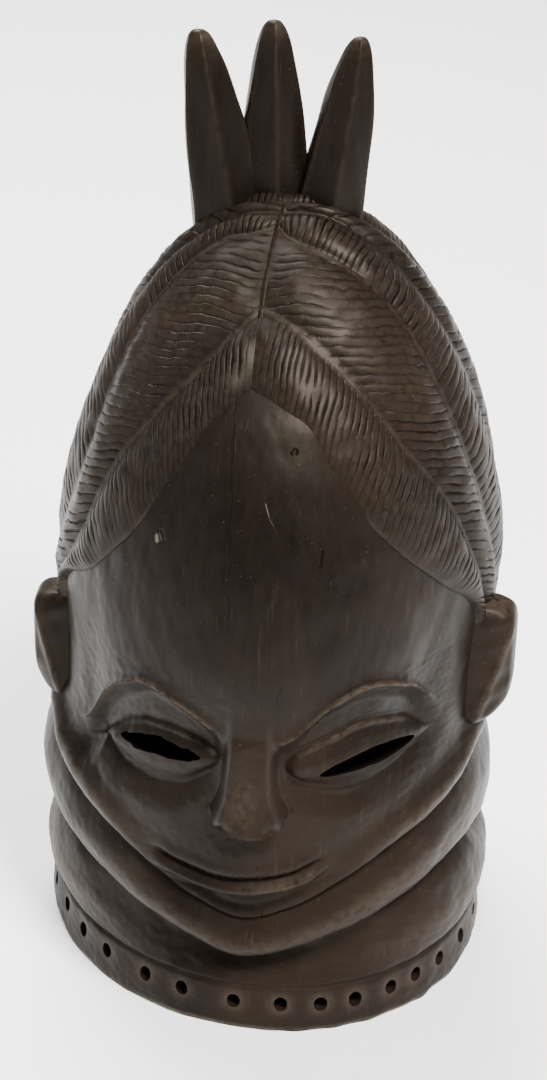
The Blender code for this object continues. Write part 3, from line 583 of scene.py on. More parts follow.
@dataclass
class Hair:
    """The raised hair: lobes that sweep back from the parting, grooved with a knife in a herringbone."""

    block: Block
    relief_height: float = 0.0036
    lobe_relief: float = 0.0040
    ridge_relief: float = 0.0010
    parting_relief: float = 0.0016
    parting_offset: float = -0.0065
    sunk: float = 0.006
    origin: float = 0.25
    stroke_pitch: float = 0.0038
    stroke_slant: float = 0.2
    groove_depth: float = 0.00055
    stroke_counts: tuple[int, ...] = (54, 60, 66, 66, 66, 66)
    lobe_rows: tuple[int, ...] = (30, 42, 34, 24, 14, 14)

    @property
    def lobes(self) -> int:
        """How many lobes each side has."""
        return len(LEFT_LOBES) + len(BACK_LOBES) - 1

    def directions(self, stations: Stations, side: int, along: Array) -> Array:
        """The way that one edge of a lobe runs.

        Args:
            stations: The edge, as degrees from the front and shares of the crown's height.
            side: 1 or -1, the sign of X.
            along: Shares of its length.

        Returns:
            Directions from the middle of the head.
        """
        angles, shares = np.array(stations, float).T
        lift = (shares - self.origin) / (1.0 - self.origin)
        flat = np.sqrt(np.clip(1.0 - lift**2, 0.0, None))
        turned = np.radians(angles) * side
        places = np.stack((flat * np.sin(turned), -flat * np.cos(turned), lift), axis=-1)
        steps = np.linalg.norm(np.diff(places, axis=0), axis=1)
        lengths = np.concatenate(([0.0], np.cumsum(steps))) / steps.sum()
        curves = [curve_through(np.stack((lengths, axis), axis=-1), along) for axis in places.T]
        return np.stack(curves, axis=-1)

    def aim(self, side: Side, along: Array, lobe: Array) -> Array:
        """Where places on one side's hair are.

        Args:
            side: Which side.
            along: Shares of the lobes' length, from the parting.
            lobe: How many lobes up from the forehead.

        Returns:
            Unit vectors from the middle of the head.
        """
        edges = (LEFT_LOBES if side is Side.LEFT else RIGHT_LOBES) + BACK_LOBES
        lines = np.array([self.directions(edge, side.value, along) for edge in edges])
        first = np.clip(lobe.astype(int), 0, len(lines) - 2)
        over = (lobe - first)[:, None]
        columns = np.arange(len(lobe))
        direction = lines[first, columns] * (1.0 - over) + lines[first + 1, columns] * over
        direction /= np.linalg.norm(direction, axis=-1, keepdims=True)
        to_front = smooth_step(-0.2, 0.6, -direction[:, 1])
        to_front *= np.clip(1.0 - np.abs(direction[:, 0]), 0.0, 1.0)
        direction[:, 0] += self.parting_offset / self.block.rim_front_depth * to_front
        return direction / np.linalg.norm(direction, axis=-1, keepdims=True)

    def strokes(self, along: Array, lobe: Array, point: Array) -> tuple[Array, Array]:
        """The knife strokes: a count that rises by one from groove to groove, and how deep they are.

        Args:
            along: Shares of the lobes' length, from the parting.
            lobe: How many lobes up from the forehead.
            point: The places on the surface.

        Returns:
            The stroke count and the depth from 0 to 1 at each place.
        """
        number = np.clip(lobe.astype(int), 0, self.lobes - 1)
        over = lobe - number
        steep = number % 2 == 0
        counts = np.array(self.stroke_counts)[number]
        across_lobe = along * counts + self.stroke_slant * (over - 0.5)
        level = 0.88 * point[:, 2] + 0.47 * point[:, 1] - 0.10 * np.abs(point[:, 0])
        level /= self.stroke_pitch
        count = np.where(steep, across_lobe, level)
        count = count + 0.30 * unevenness(point, 0.035, 5) + 0.07 * unevenness(point, 0.007, 15)
        whole = np.rint(count)
        pressed = 0.5 + 0.5 * np.abs(np.sin(12.9898 * whole + 78.233 * number))
        near_edge = np.minimum(over, 1.0 - over)
        depth = smooth_step(0.02, 0.10, near_edge) * (0.66 + 0.50 * unevenness(point, 0.016, 6))
        depth *= pressed
        depth *= smooth_step(0.014, 0.040, along - 0.020 * (number == 0))
        from_hairline = np.where(number == 0, 0.15 + 0.85 * smooth_step(0.10, 0.55, over), 1.0)
        worn_smooth = hump(along, 0.26, 0.16) * hump(over, 0.58, 0.30) * (number == 1)
        depth *= from_hairline * (1.0 - 0.80 * worn_smooth)
        return count, np.clip(depth, 0.0, 1.0)

    def surface(self, side: Side, along: Array, lobe: Array) -> tuple[Array, dict[str, Array]]:
        """The carved outer skin of one side, and what the finish needs to know about it.

        Args:
            side: Which side.
            along: Shares of the lobes' length, from the parting.
            lobe: How many lobes up from the forehead.

        Returns:
            The points in metres, and the marks for the finish.
        """
        direction = self.aim(side, along, lobe)
        angle = np.arctan2(direction[:, 0], -direction[:, 1])
        lift = np.clip(direction[:, 2], -1.0, 1.0)
        height = self.block.crown_height * (self.origin + (1.0 - self.origin) * lift)
        base = self.block.point(angle, height)
        over = lobe - np.clip(lobe.astype(int), 0, self.lobes - 1)
        pillow = np.clip(1.0 - np.abs(2.0 * over - 1.0) ** 2.2, 0.0, 1.0) ** 0.75
        starts = smooth_step(0.0, 0.10, along)
        near_edge = np.minimum(over, 1.0 - over)
        inner = (lobe > 0.5) & (lobe < self.lobes - 0.5)
        ridge = hump(near_edge, 0.0, 0.030) * inner
        parting = hump(along, 0.0, 0.008) * (lobe < 4.0) * (lobe > 0.9)
        relief = self.relief_height + self.lobe_relief * pillow * (0.45 + 0.55 * starts)
        hairline = hump(lobe, 0.03, 0.02) * (lobe < 0.5)
        relief += self.ridge_relief * (1.3 * ridge + 0.8 * hairline) + self.parting_relief * parting
        count, depth = self.strokes(along, lobe, base)
        groove = hump(count - np.rint(count), 0.0, 0.15)
        relief -= self.groove_depth * depth * groove
        relief += 0.00022 * unevenness(base, 0.012, 7)
        at_rim = (along > 1.0 - 1e-6) | (lobe < 1e-6)
        relief = np.where(at_rim, -self.sunk, relief)
        outward = np.where((relief > 0.0)[:, None], self.block.normal(angle, height), direction)
        # Paler on the lobe ridges, the parting, the hairline edge and the strand tops between the grooves:
        # partly handling, partly painted highlight.
        wear_and_highlight = 0.45 * ridge + 0.35 * parting + 0.9 * hairline + 0.25 * pillow * (1.0 - groove)
        marks = {
            Surface.WEAR_AND_HIGHLIGHT.value: np.clip(wear_and_highlight, 0.0, 1.0),
            Surface.STROKE.value: count,
            Surface.STROKE_DEPTH.value: depth,
        }
        return base + outward * relief[:, None], marks


class Shading:
    """A material's node tree, put together one small step at a time."""

    def __init__(self, name: str) -> None:
        """Starts an empty Principled material with that name."""
        self.material = bpy.data.materials.new(name)
        self.material.use_nodes = True
        self.tree = self.material.node_tree
        self.shader = self.tree.nodes["Principled BSDF"]

    def node(self, kind: str) -> bpy.types.Node:
        """Adds a node."""
        return self.tree.nodes.new(kind)

    def feed(self, socket: Socket, value: Value) -> None:
        """Puts a number, a colour or another node's result in a socket.

        Args:
            socket: The socket to feed.
            value: The number, colour or result.
        """
        if isinstance(value, Socket):
            self.tree.links.new(value, socket)
        elif isinstance(value, tuple):
            socket.default_value = (*value, 1.0)
        else:
            socket.default_value = value

    def maths(self, operation: str, first: Value, second: Value = 0.0) -> Socket:
        """One step of arithmetic.

        Args:
            operation: Blender's name of it.
            first: A number or a result.
            second: Another.

        Returns:
            The result.
        """
        step = self.node("ShaderNodeMath")
        step.operation = operation
        self.feed(step.inputs[0], first)
        self.feed(step.inputs[1], second)
        return step.outputs[0]

    def scaled(self, value: Value, factor: float) -> Socket:
        """A result times a number."""
        return self.maths("MULTIPLY", value, factor)

    def product(self, first: Value, second: Value) -> Socket:
        """Two results multiplied."""
        return self.maths("MULTIPLY", first, second)

    def total(self, *values: Value, offset: float = 0.0) -> Socket:
        """Results added up, with a constant.

        Args:
            *values: The results.
            offset: The constant.

        Returns:
            The sum.
        """
        sum_so_far: Value = offset
        for value in values:
            sum_so_far = self.maths("ADD", value, sum_so_far)
        return sum_so_far

    def noise(
        self, place: Value, scale: Triple, detail: float, turned: Triple = (0.0, 0.0, 0.0)
    ) -> Socket:
        """Cloudy noise in the object's own space, stretched and turned.

        Args:
            place: The coordinates to read.
            scale: Waves per metre along each axis.
            detail: How many finer layers it has.
            turned: Its turn round each axis in radians.

        Returns:
            The noise, mostly between 0.3 and 0.7.
        """
        mapping = self.node("ShaderNodeMapping")
        mapping.inputs["Scale"].default_value = scale
        mapping.inputs["Rotation"].default_value = turned
        self.feed(mapping.inputs["Vector"], place)
        noise = self.node("ShaderNodeTexNoise")
        noise.inputs["Scale"].default_value = 1.0
        noise.inputs["Detail"].default_value = detail
        self.feed(noise.inputs["Vector"], mapping.outputs[0])
        return noise.outputs[0]

    def ramp(self, value: Value, low: float, high: float) -> Socket:
        """0 below low, 1 above high, smooth between.

        Args:
            value: The result to read.
            low: Where the rise starts.
            high: Where it ends.

        Returns:
            The result.
        """
        step = self.node("ShaderNodeMapRange")
        step.interpolation_type = "SMOOTHSTEP"
        step.inputs["From Min"].default_value = low
        step.inputs["From Max"].default_value = high
        self.feed(step.inputs["Value"], value)
        return step.outputs["Result"]

    def mix_number(self, factor: float, first: Value, second: Value) -> Socket:
        """A blend of two numbers.

        Args:
            factor: The share of the second.
            first: A number or a result.
            second: Another.

        Returns:
            The blend.
        """
        mix = self.node("ShaderNodeMix")
        self.feed(mix.inputs[0], factor)
        self.feed(mix.inputs[2], first)
        self.feed(mix.inputs[3], second)
        return mix.outputs[0]

    def mix_colour(self, factor: Value, first: Value, second: Value) -> Socket:
        """A blend of two colours.

        Args:
            factor: The share of the second.
            first: A colour or a result.
            second: Another.

        Returns:
            The blend.
        """
        mix = self.node("ShaderNodeMix")
        mix.data_type = "RGBA"
        self.feed(mix.inputs[0], factor)
        self.feed(mix.inputs[6], first)
        self.feed(mix.inputs[7], second)
        return mix.outputs[2]

    def attribute(self, surface: Surface) -> Socket:
        """A vertex attribute of the piece.

        Args:
            surface: Which attribute.

        Returns:
            Its value, 0 on a piece that lacks it.
        """
        reader = self.node("ShaderNodeAttribute")
        reader.attribute_name = surface.value
        return reader.outputs["Fac"]

    def thin_line(self, distance: Value, half_width: float) -> Socket:
        """1 on a line and 0 away from it, from the distance to it in metres."""
        away = self.maths("ABSOLUTE", distance)
        return self.maths("SUBTRACT", 1.0, self.ramp(away, 0.35 * half_width, 1.4 * half_width))

    def capsule(self, place: Value, start: Triple, end: Triple, half_width: float) -> Socket:
        """A short straight line with round ends.

        Args:
            place: The coordinates to read.
            start: One end in millimetres.
            end: The other end.
            half_width: Its half width in millimetres.

        Returns:
            The share of the line that covers a place.
        """
        first, along = Vector(start) / 1000.0, (Vector(end) - Vector(start)) / 1000.0
        away = self.vector("SUBTRACT", place, tuple(first))
        reached = self.vector("DOT_PRODUCT", away, tuple(along / along.length_squared))
        clamped = self.node("ShaderNodeClamp")
        self.feed(clamped.inputs["Value"], reached)
        nearest = self.vector("SCALE", tuple(along), scale=clamped.outputs[0])
        distance = self.vector("DISTANCE", away, nearest)
        wide = half_width / 1000.0
        return self.maths("SUBTRACT", 1.0, self.ramp(distance, 0.4 * wide, 1.4 * wide))

    def vector(
        self, operation: str, first: Value, second: Value = (0.0, 0.0, 0.0), scale: Value = 1.0
    ) -> Socket:
        """One step of vector arithmetic.

        Args:
            operation: Blender's name of it.
            first: A vector or a result.
            second: Another.
            scale: The factor, where the step takes one.

        Returns:
            The number or vector that results.
        """
        step = self.node("ShaderNodeVectorMath")
        step.operation = operation
        for socket, value in zip(step.inputs, (first, second)):
            if isinstance(value, Socket):
                self.tree.links.new(value, socket)
            else:
                socket.default_value = value
        if operation == "SCALE":
            self.feed(step.inputs["Scale"], scale)
        return step.outputs["Value" if operation in ("DOT_PRODUCT", "DISTANCE") else "Vector"]

    def groove(self, count: Value, half_width: float) -> Socket:
        """Grooves at the whole counts, with slanting sides.

        Args:
            count: The stroke count to read.
            half_width: The groove's half width in counts.

        Returns:
            How deep in a groove a place is, from 0 to 1.
        """
        shifted = self.maths("FRACT", self.maths("ADD", count, 0.5))
        away = self.maths("ABSOLUTE", self.maths("SUBTRACT", shifted, 0.5))
        return self.maths("SUBTRACT", 1.0, self.ramp(away, 0.15 * half_width, 1.3 * half_width))

    def finish(self, colour: Value, roughness: Value, relief_mm: Value) -> None:
        """Wires colour, gloss and fine relief to the shader.

        Args:
            colour: The base colour.
            roughness: The roughness.
            relief_mm: The fine relief in millimetres.
        """
        self.feed(self.shader.inputs["Base Color"], colour)
        self.feed(self.shader.inputs["Roughness"], roughness)
        bump = self.node("ShaderNodeBump")
        bump.inputs["Strength"].default_value = 1.0
        bump.inputs["Distance"].default_value = 0.001
        self.feed(bump.inputs["Height"], relief_mm)
        self.feed(self.shader.inputs["Normal"], bump.outputs["Normal"])


@dataclass(frozen=True)
class Mark:
    """A short mark of damage in the wood, between two places of the finished mask in millimetres; a dark one
    is painted shade inside the cut, a pale one shows lighter wood under the stain.
    """

    start: Triple
    end: Triple
    half_width: float
    pale: bool = False
    depth: float = 0.5


KNOT_AND_GOUGES = (
    Mark((12.4, -82.1, 280.3), (12.8, -82.0, 280.9), 1.3, depth=1.5),
    Mark((45.4, -80.0, 259.2), (55.8, -75.9, 251.4), 0.5, depth=1.0),
    Mark((46.8, -79.0, 252.5), (51.0, -78.0, 256.0), 0.3),
)
FOREHEAD_MARKS = (
    Mark((-41.0, -88.4, 242.5), (-39.5, -89.6, 239.5), 1.2, depth=1.0),
    Mark((-43.2, -88.2, 240.2), (-42.6, -88.8, 238.4), 1.0, pale=True),
    Mark((-37.2, -90.0, 244.5), (-36.6, -90.4, 241.0), 0.5),
    Mark((26.4, -95.2, 243.5), (26.3, -97.6, 237.5), 0.7, depth=0.8),
    Mark((2.6, -93.6, 262.0), (4.6, -95.8, 256.5), 0.25, pale=True),
    Mark((4.8, -96.0, 256.0), (8.2, -97.7, 251.0), 0.25, pale=True),
    Mark((1.6, -101.8, 240.5), (4.2, -102.6, 238.0), 0.30, pale=True),
)
FACE_CRACKS = (
    Mark((13.4, -111.5, 186.0), (11.0, -111.6, 179.0), 0.22),
    Mark((7.2, -101.4, 66.0), (7.7, -103.6, 56.5), 0.26, depth=0.8),
    Mark((-9.4, -106.9, 97.0), (-9.4, -106.9, 90.5), 0.20),
    Mark((5.2, -108.0, 98.0), (5.4, -107.9, 87.5), 0.20),
)


@dataclass(frozen=True)
class WoodFinish:
    """Dark, oiled wood: stain in blotches over an upright grain, paler on the high places from handling and
    from painted highlight, with painted shade in the cuts and cracks.
    """

    name: str
    dark: Colour = (0.0035, 0.0024, 0.0016)
    brown: Colour = (0.0120, 0.0080, 0.0051)
    # Paler brown for stain worn by handling, also used as painted highlight on raised edges and as the colour
    # of the scratches.
    rubbed_and_highlight: Colour = (0.044, 0.032, 0.022)
    pale: Colour = (0.105, 0.088, 0.068)
    # Painted shade: near-black that stands in for the shadow inside knife grooves, cracks, gouges and the
    # knot hole.
    crevice_shade: Colour = (0.0015, 0.0010, 0.0007)
    sheen: Colour = (1.0, 0.88, 0.76)
    roughness: float = 0.44
    specular: float = 0.09
    crack_half_width: float = 0.00030
    groove_half_width: float = 0.12
    grooved: bool = False

    def stain(self, sketch: Shading, place: Socket) -> Socket:
        """The colour of the stained wood, before wear and scars.

        Args:
            sketch: The material in the making.
            place: The coordinates to read.

        Returns:
            The colour of the stained wood, before the worn places, the painted highlight and shade, and the
            scars.
        """
        blotches = sketch.noise(place, (16.0, 16.0, 11.0), detail=5.0)
        clouds = sketch.noise(place, (5.0, 5.0, 4.0), detail=2.0)
        streaks = sketch.ramp(sketch.noise(place, (260.0, 260.0, 9.0), detail=5.0), 0.25, 0.75)
        stained = sketch.ramp(sketch.mix_number(0.45, blotches, clouds), 0.36, 0.64)
        base = sketch.mix_colour(stained, self.dark, self.brown)
        return sketch.mix_colour(sketch.scaled(streaks, 0.30), base, self.brown)

    def scars(
        self, sketch: Shading, place: Socket, base: Value, relief: Value
    ) -> tuple[Value, Value]:
        """Adds the cracks, gouges and scratches, with painted shade inside the dark ones.

        Args:
            sketch: The material in the making.
            place: The coordinates to read.
            base: The colour so far.
            relief: The fine relief so far.

        Returns:
            The colour and the fine relief with the scars.
        """
        # Painted shade along the forehead crack.
        line = sketch.thin_line(sketch.attribute(Surface.CRACK), self.crack_half_width)
        crack = sketch.product(line, sketch.attribute(Surface.CRACK_DEPTH))
        base = sketch.mix_colour(sketch.scaled(crack, 0.9), base, self.crevice_shade)
        relief = sketch.total(relief, sketch.scaled(crack, -0.4))
        # Dark marks are painted shade inside the cuts; pale ones are lighter wood.
        for mark in (*KNOT_AND_GOUGES, *FOREHEAD_MARKS, *FACE_CRACKS):
            inside = sketch.capsule(place, mark.start, mark.end, mark.half_width)
            colour = self.pale if mark.pale else self.crevice_shade
            base = sketch.mix_colour(sketch.scaled(inside, 0.85), base, colour)
            relief = sketch.total(relief, sketch.scaled(inside, -mark.depth))
        return base, relief

    def build(self) -> bpy.types.Material:
        """Makes the material."""
        sketch = Shading(self.name)
        sketch.feed(sketch.shader.inputs["Specular IOR Level"], self.specular)
        sketch.feed(sketch.shader.inputs["Specular Tint"], self.sheen)
        place = sketch.node("ShaderNodeTexCoord").outputs["Object"]
        grain = sketch.noise(place, (420.0, 420.0, 16.0), detail=4.0)
        mottle = sketch.noise(place, (330.0, 330.0, 280.0), detail=5.0)
        patches = sketch.noise(place, (24.0, 24.0, 20.0), detail=4.0)
        specks = sketch.ramp(sketch.noise(place, (1100.0, 1100.0, 900.0), detail=1.0), 0.72, 0.78)
        scratch = sketch.noise(place, (900.0, 150.0, 26.0), detail=2.0, turned=(0.3, 0.9, 0.2))
        scratches = sketch.product(sketch.ramp(scratch, 0.66, 0.70), sketch.ramp(patches, 0.42, 0.62))
        wear_and_highlight = sketch.attribute(Surface.WEAR_AND_HIGHLIGHT)
        # Worn places and painted highlight, from the vertex attribute, mixed towards the paler brown.
        rubbing_and_highlight = sketch.product(wear_and_highlight, sketch.ramp(mottle, 0.25, 0.60))
        # Pale for unstained wood, and painted highlight on the right of the neck.
        bare_and_highlight = sketch.attribute(Surface.BARE_AND_HIGHLIGHT)
        base = self.stain(sketch, place)
        base = sketch.mix_colour(sketch.scaled(rubbing_and_highlight, 0.8), base, self.rubbed_and_highlight)
        base = sketch.mix_colour(sketch.scaled(scratches, 0.18), base, self.rubbed_and_highlight)
        base = sketch.mix_colour(sketch.scaled(specks, 0.22), base, self.pale)
        base = sketch.mix_colour(sketch.scaled(bare_and_highlight, 0.8), base, self.pale)
        relief = sketch.total(
            sketch.scaled(grain, 0.06), sketch.scaled(mottle, 0.09), sketch.scaled(patches, 0.20),
            sketch.scaled(scratches, -0.05),
        )
        if self.grooved:
            # Painted shade: the knife grooves of the hair are darkened as if in shadow.
            line = sketch.groove(sketch.attribute(Surface.STROKE), self.groove_half_width)
            groove = sketch.product(line, sketch.attribute(Surface.STROKE_DEPTH))
            base = sketch.mix_colour(sketch.scaled(groove, 0.95), base, self.crevice_shade)
            relief = sketch.total(relief, sketch.scaled(groove, -0.60))
        base, relief = self.scars(sketch, place, base, relief)
        gloss = sketch.total(
            sketch.scaled(mottle, 0.14), sketch.scaled(patches, 0.26), sketch.scaled(bare_and_highlight, 0.25),
            sketch.scaled(wear_and_highlight, -0.05), offset=self.roughness - 0.20,
        )
        sketch.finish(base, gloss, relief)
        return sketch.material


@dataclass
class Workshop:
    """Turns grids into finished pieces that ride on the mask's body."""

    block: Block
    finished: list[bpy.types.Object] = field(default_factory=list)

    def grid(self, columns: int, rows: int, place: Placement) -> bmesh.types.BMesh:
        """A grid whose points are moved by a rule.

        Args:
            columns: Steps across.
            rows: Steps up.
            place: Gives points and marks for shares across and up, each from 0 to 1.

        Returns:
            The moved grid, with the marks in float layers.
        """
        bm = bmesh.new()
        bmesh.ops.create_grid(bm, x_segments=columns, y_segments=rows, size=0.5)
        flat = np.array([vert.co for vert in bm.verts], float)
        points, marks = place(flat[:, 0] + 0.5, flat[:, 1] + 0.5)
        layers = [(bm.verts.layers.float.new(name), values) for name, values in marks.items()]
        for number, vert in enumerate(bm.verts):
            vert.co = points[number]
            for layer, values in layers:
                vert[layer] = values[number]
        return bm

    @staticmethod
    def weld(bm: bmesh.types.BMesh, distance: float = 2e-5) -> None:
        """Joins a seam's doubled points and closes what is still open."""
        bmesh.ops.remove_doubles(bm, verts=bm.verts, dist=distance)
        bmesh.ops.holes_fill(bm, edges=[edge for edge in bm.edges if edge.is_boundary])

    def piece(self, name: str, bm: bmesh.types.BMesh, finish: bpy.types.Material) -> bpy.types.Object:
        """Makes a shaded object of a closed bmesh, in the frame's place.

        Args:
            name: Its name.
            bm: The closed bmesh, which is freed.
            finish: The material to give it.

        Returns:
            The object.
        """
        bmesh.ops.recalc_face_normals(bm, faces=bm.faces)
        bmesh.ops.translate(bm, verts=bm.verts, vec=self.block.shift)
        mesh = bpy.data.meshes.new(name)
        bm.to_mesh(mesh)
        bm.free()
        made = bpy.data.objects.new(name, mesh)
        bpy.context.scene.collection.objects.link(made)
        mesh.materials.append(finish)
        mesh.shade_smooth()
        return made

    def cut(self, piece: bpy.types.Object, cutter: bpy.types.Object) -> None:
        """Cuts a shape out of a piece, and removes the cutter.

        Args:
            piece: The piece to cut.
            cutter: The shape, in the same place.
        """
        step = piece.modifiers.new("cut", "BOOLEAN")
        step.operation = "DIFFERENCE"
        step.object = cutter
        step.solver = "EXACT"
        bpy.context.view_layer.update()
        graph = bpy.context.evaluated_depsgraph_get()
        carved = bpy.data.meshes.new_from_object(piece.evaluated_get(graph))
        piece.modifiers.clear()
        piece.data = carved
        carved.set_sharp_from_angle(angle=math.radians(48.0))
        bpy.data.objects.remove(cutter)

    def deliver(self, piece: bpy.types.Object) -> None:
        """Lets a finished piece stand for the solid and ride on its body.

        Args:
            piece: The finished piece.
        """
        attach(piece, "root")
        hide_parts(CAD_NODE)
        self.finished.append(piece)
        log.info("%s: %d faces", piece.name, len(piece.data.polygons))


@dataclass(frozen=True)
class Eye:
    """The slit that is cut through one lid."""

    turned_deg: float
    level: float
    length: float
    tilt_deg: float
    raggedness: float
    seed: int


EYES = (
    Eye(-25.0, 0.403, 0.043, -4.0, raggedness=0.12, seed=10),
    Eye(33.0, 0.401, 0.049, 8.0, raggedness=0.03, seed=12),
)


@dataclass
class Head:
    """The face and the plain dome under the hair, with the hollow inside it and the two eye slits."""

    workshop: Workshop
    face: Face
    lines: Lines
    columns: int = 400
    face_rows: int = 140
    forehead_rows: int = 50
    dome_rows: int = 12
    hollow_rows: int = 24
    face_top: float = 0.52
    forehead_top: float = 0.87

    def rows(self, angle: Array) -> Array:
        """The outer rows, from the crown's pole down to the jaw.

        Args:
            angle: Angles from the front in radians, rising towards +X.

        Returns:
            Heights by row and angle.
        """
        crown = self.workshop.block.crown_height
        jaw = self.lines.level(self.lines.face_edge, angle)
        brow, hairline = self.face_top * crown, self.forehead_top * crown
        rows = [jaw + (brow - jaw) * share for share in np.linspace(0.0, 1.0, self.face_rows)]
        forehead = np.linspace(brow, hairline, self.forehead_rows + 1)[1:]
        rising = np.sin(0.5 * np.pi * np.linspace(0.0, 1.0, self.dome_rows + 1)[1:])
        dome = hairline + (crown - hairline) * rising
        rows += [np.full_like(angle, height) for height in (*forehead, *dome)]
        return np.array(rows[::-1])

    def angles(self, share: Array) -> Array:
        """Angles round the head, closest together at the face.

        Args:
            share: Shares of the turn, from 0 to 1.

        Returns:
            Angles in radians.
        """
        turn = 2.0 * share - 1.0
        spread = curve_through(((0.0, 0.0), (0.60, 52.0), (0.84, 96.0), (1.0, 180.0)), np.abs(turn))
        return np.radians(spread) * np.sign(turn)

    def crack(self, angle: Array, height: Array) -> tuple[Array, Array]:
        """The long hairline crack of the forehead.

        Args:
            angle: Angles from the front in radians, rising towards +X.
            height: Heights above the rim's underside in metres.

        Returns:
            The distance to it in metres, and how open it is from 0 to 1.
        """
        across = angle * self.workshop.block.rim_front_depth
        wobble = 0.0005 * np.sin(height * 310.0) + 0.0003 * np.sin(height * 790.0 + 1.0)
        above = height - 0.2234
        offset = across + 0.0101 + 0.055 * above + 0.95 * above**2 + wobble
        opened = 0.8 * smooth_step(0.195, 0.225, height) * (1.0 - smooth_step(0.290, 0.300, height))
        return offset, opened

    def place(self, column: Array, row: Array) -> tuple[Array, dict[str, Array]]:
        """The skin, from the crown down the outside to the jaw and up the hollow to its top.

        Args:
            column: Shares across the grid, from 0 to 1.
            row: Shares up the grid, from 0 to 1.

        Returns:
            The points in metres, and the marks for the finish.
        """
        block = self.workshop.block
        angle = self.angles(column)
        outer = self.rows(angle)
        total = len(outer) + self.hollow_rows - 1
        number = np.rint(row * total).astype(int)
        outside = number < len(outer)
        height = outer[np.clip(number, 0, len(outer) - 1), np.arange(len(angle))]
        jaw = self.lines.level(self.lines.face_edge, angle)
        top = block.crown_height - block.crown_thickness
        inward = np.clip((number - len(outer)) / (self.hollow_rows - 1.0), 0.0, 1.0)
        inner_height = jaw + (top - jaw) * np.sin(0.5 * np.pi * inward)
        base = block.point(angle, height)
        relief = self.face.relief(angle, height)
        relief += 0.00020 * unevenness(base, 0.016, 3) + 0.00008 * unevenness(base, 0.005, 4)
        outer_point = base + block.normal(angle, height) * relief[:, None]
        inner_point = block.inside(angle, inner_height)
        point = np.where(outside[:, None], outer_point, inner_point)
        point[number == 0] = (0.0, 0.0, block.crown_height)
        point[number == total] = (0.0, 0.0, top)
        offset, depth = self.crack(angle, height)
        marks = {
            Surface.WEAR_AND_HIGHLIGHT.value: np.where(outside, self.face.wear_and_highlight(angle, height), 0.0),
            Surface.CRACK.value: offset,
            Surface.CRACK_DEPTH.value: np.where(outside, depth, 0.0),
        }
        return point, marks

    def slit(self, eye: Eye) -> bpy.types.Object:
        """An almond-shaped blade through the wall at one eye, with hand-cut edges.

        Args:
            eye: The slit to cut.

        Returns:
            The blade, in place.
        """
        block, face = self.workshop.block, self.face
        angle, level = np.radians([eye.turned_deg]), np.array([eye.level * block.crown_height])
        relief = face.relief(angle, level)[:, None]
        skin = (block.point(angle, level) + block.normal(angle, level) * relief)[0]
        through = 2.4 * block.wall
        bm = bmesh.new()
        bmesh.ops.create_cone(
            bm, cap_ends=True, segments=120, radius1=0.5, radius2=0.5, depth=2.0 * through,
            matrix=Matrix.Rotation(math.radians(90.0), 4, "X"),
        )
        phases = np.random.default_rng(eye.seed).uniform(0.0, 2.0 * math.pi, 6)
        for vert in bm.verts:
            turn = math.atan2(vert.co.z, vert.co.x)
            ragged = sum(
                math.sin((4.0 * wave + 1.0) * turn + phases[wave - 1]) / wave for wave in range(1, 7)
            )
            bow = (1.0 - 0.25 * (2.0 * vert.co.x) ** 2) * (1.0 + eye.raggedness * ragged)
            inward = vert.co.y / through
            vert.co.x *= eye.length
            opening = face.slit_height * bow * (1.0 + face.slit_flare * inward)
            vert.co.z = vert.co.z * opening - face.slit_drop * inward
        tilt = math.radians(eye.tilt_deg) * math.copysign(1.0, eye.turned_deg)
        turned = Matrix.Rotation(math.radians(eye.turned_deg), 4, "Z") @ Matrix.Rotation(-tilt, 4, "Y")
        bm.transform(Matrix.Translation(Vector(skin) + Vector(block.shift)) @ turned)
        mesh = bpy.data.meshes.new("slit")
        bm.to_mesh(mesh)
        bm.free()
        cutter = bpy.data.objects.new("slit", mesh)
        bpy.context.scene.collection.objects.link(cutter)
        return cutter

    def build(self, finish: bpy.types.Material) -> None:
        """Carves the head and cuts its slits.

        Args:
            finish: The material to give it.
        """
        rows = self.face_rows + self.forehead_rows + self.dome_rows + self.hollow_rows - 1
        bm = self.workshop.grid(self.columns, rows, self.place)
        self.workshop.weld(bm)
        head = self.workshop.piece("head", bm, finish)
        for eye in EYES:
            self.workshop.cut(head, self.slit(eye))
        self.workshop.deliver(head)


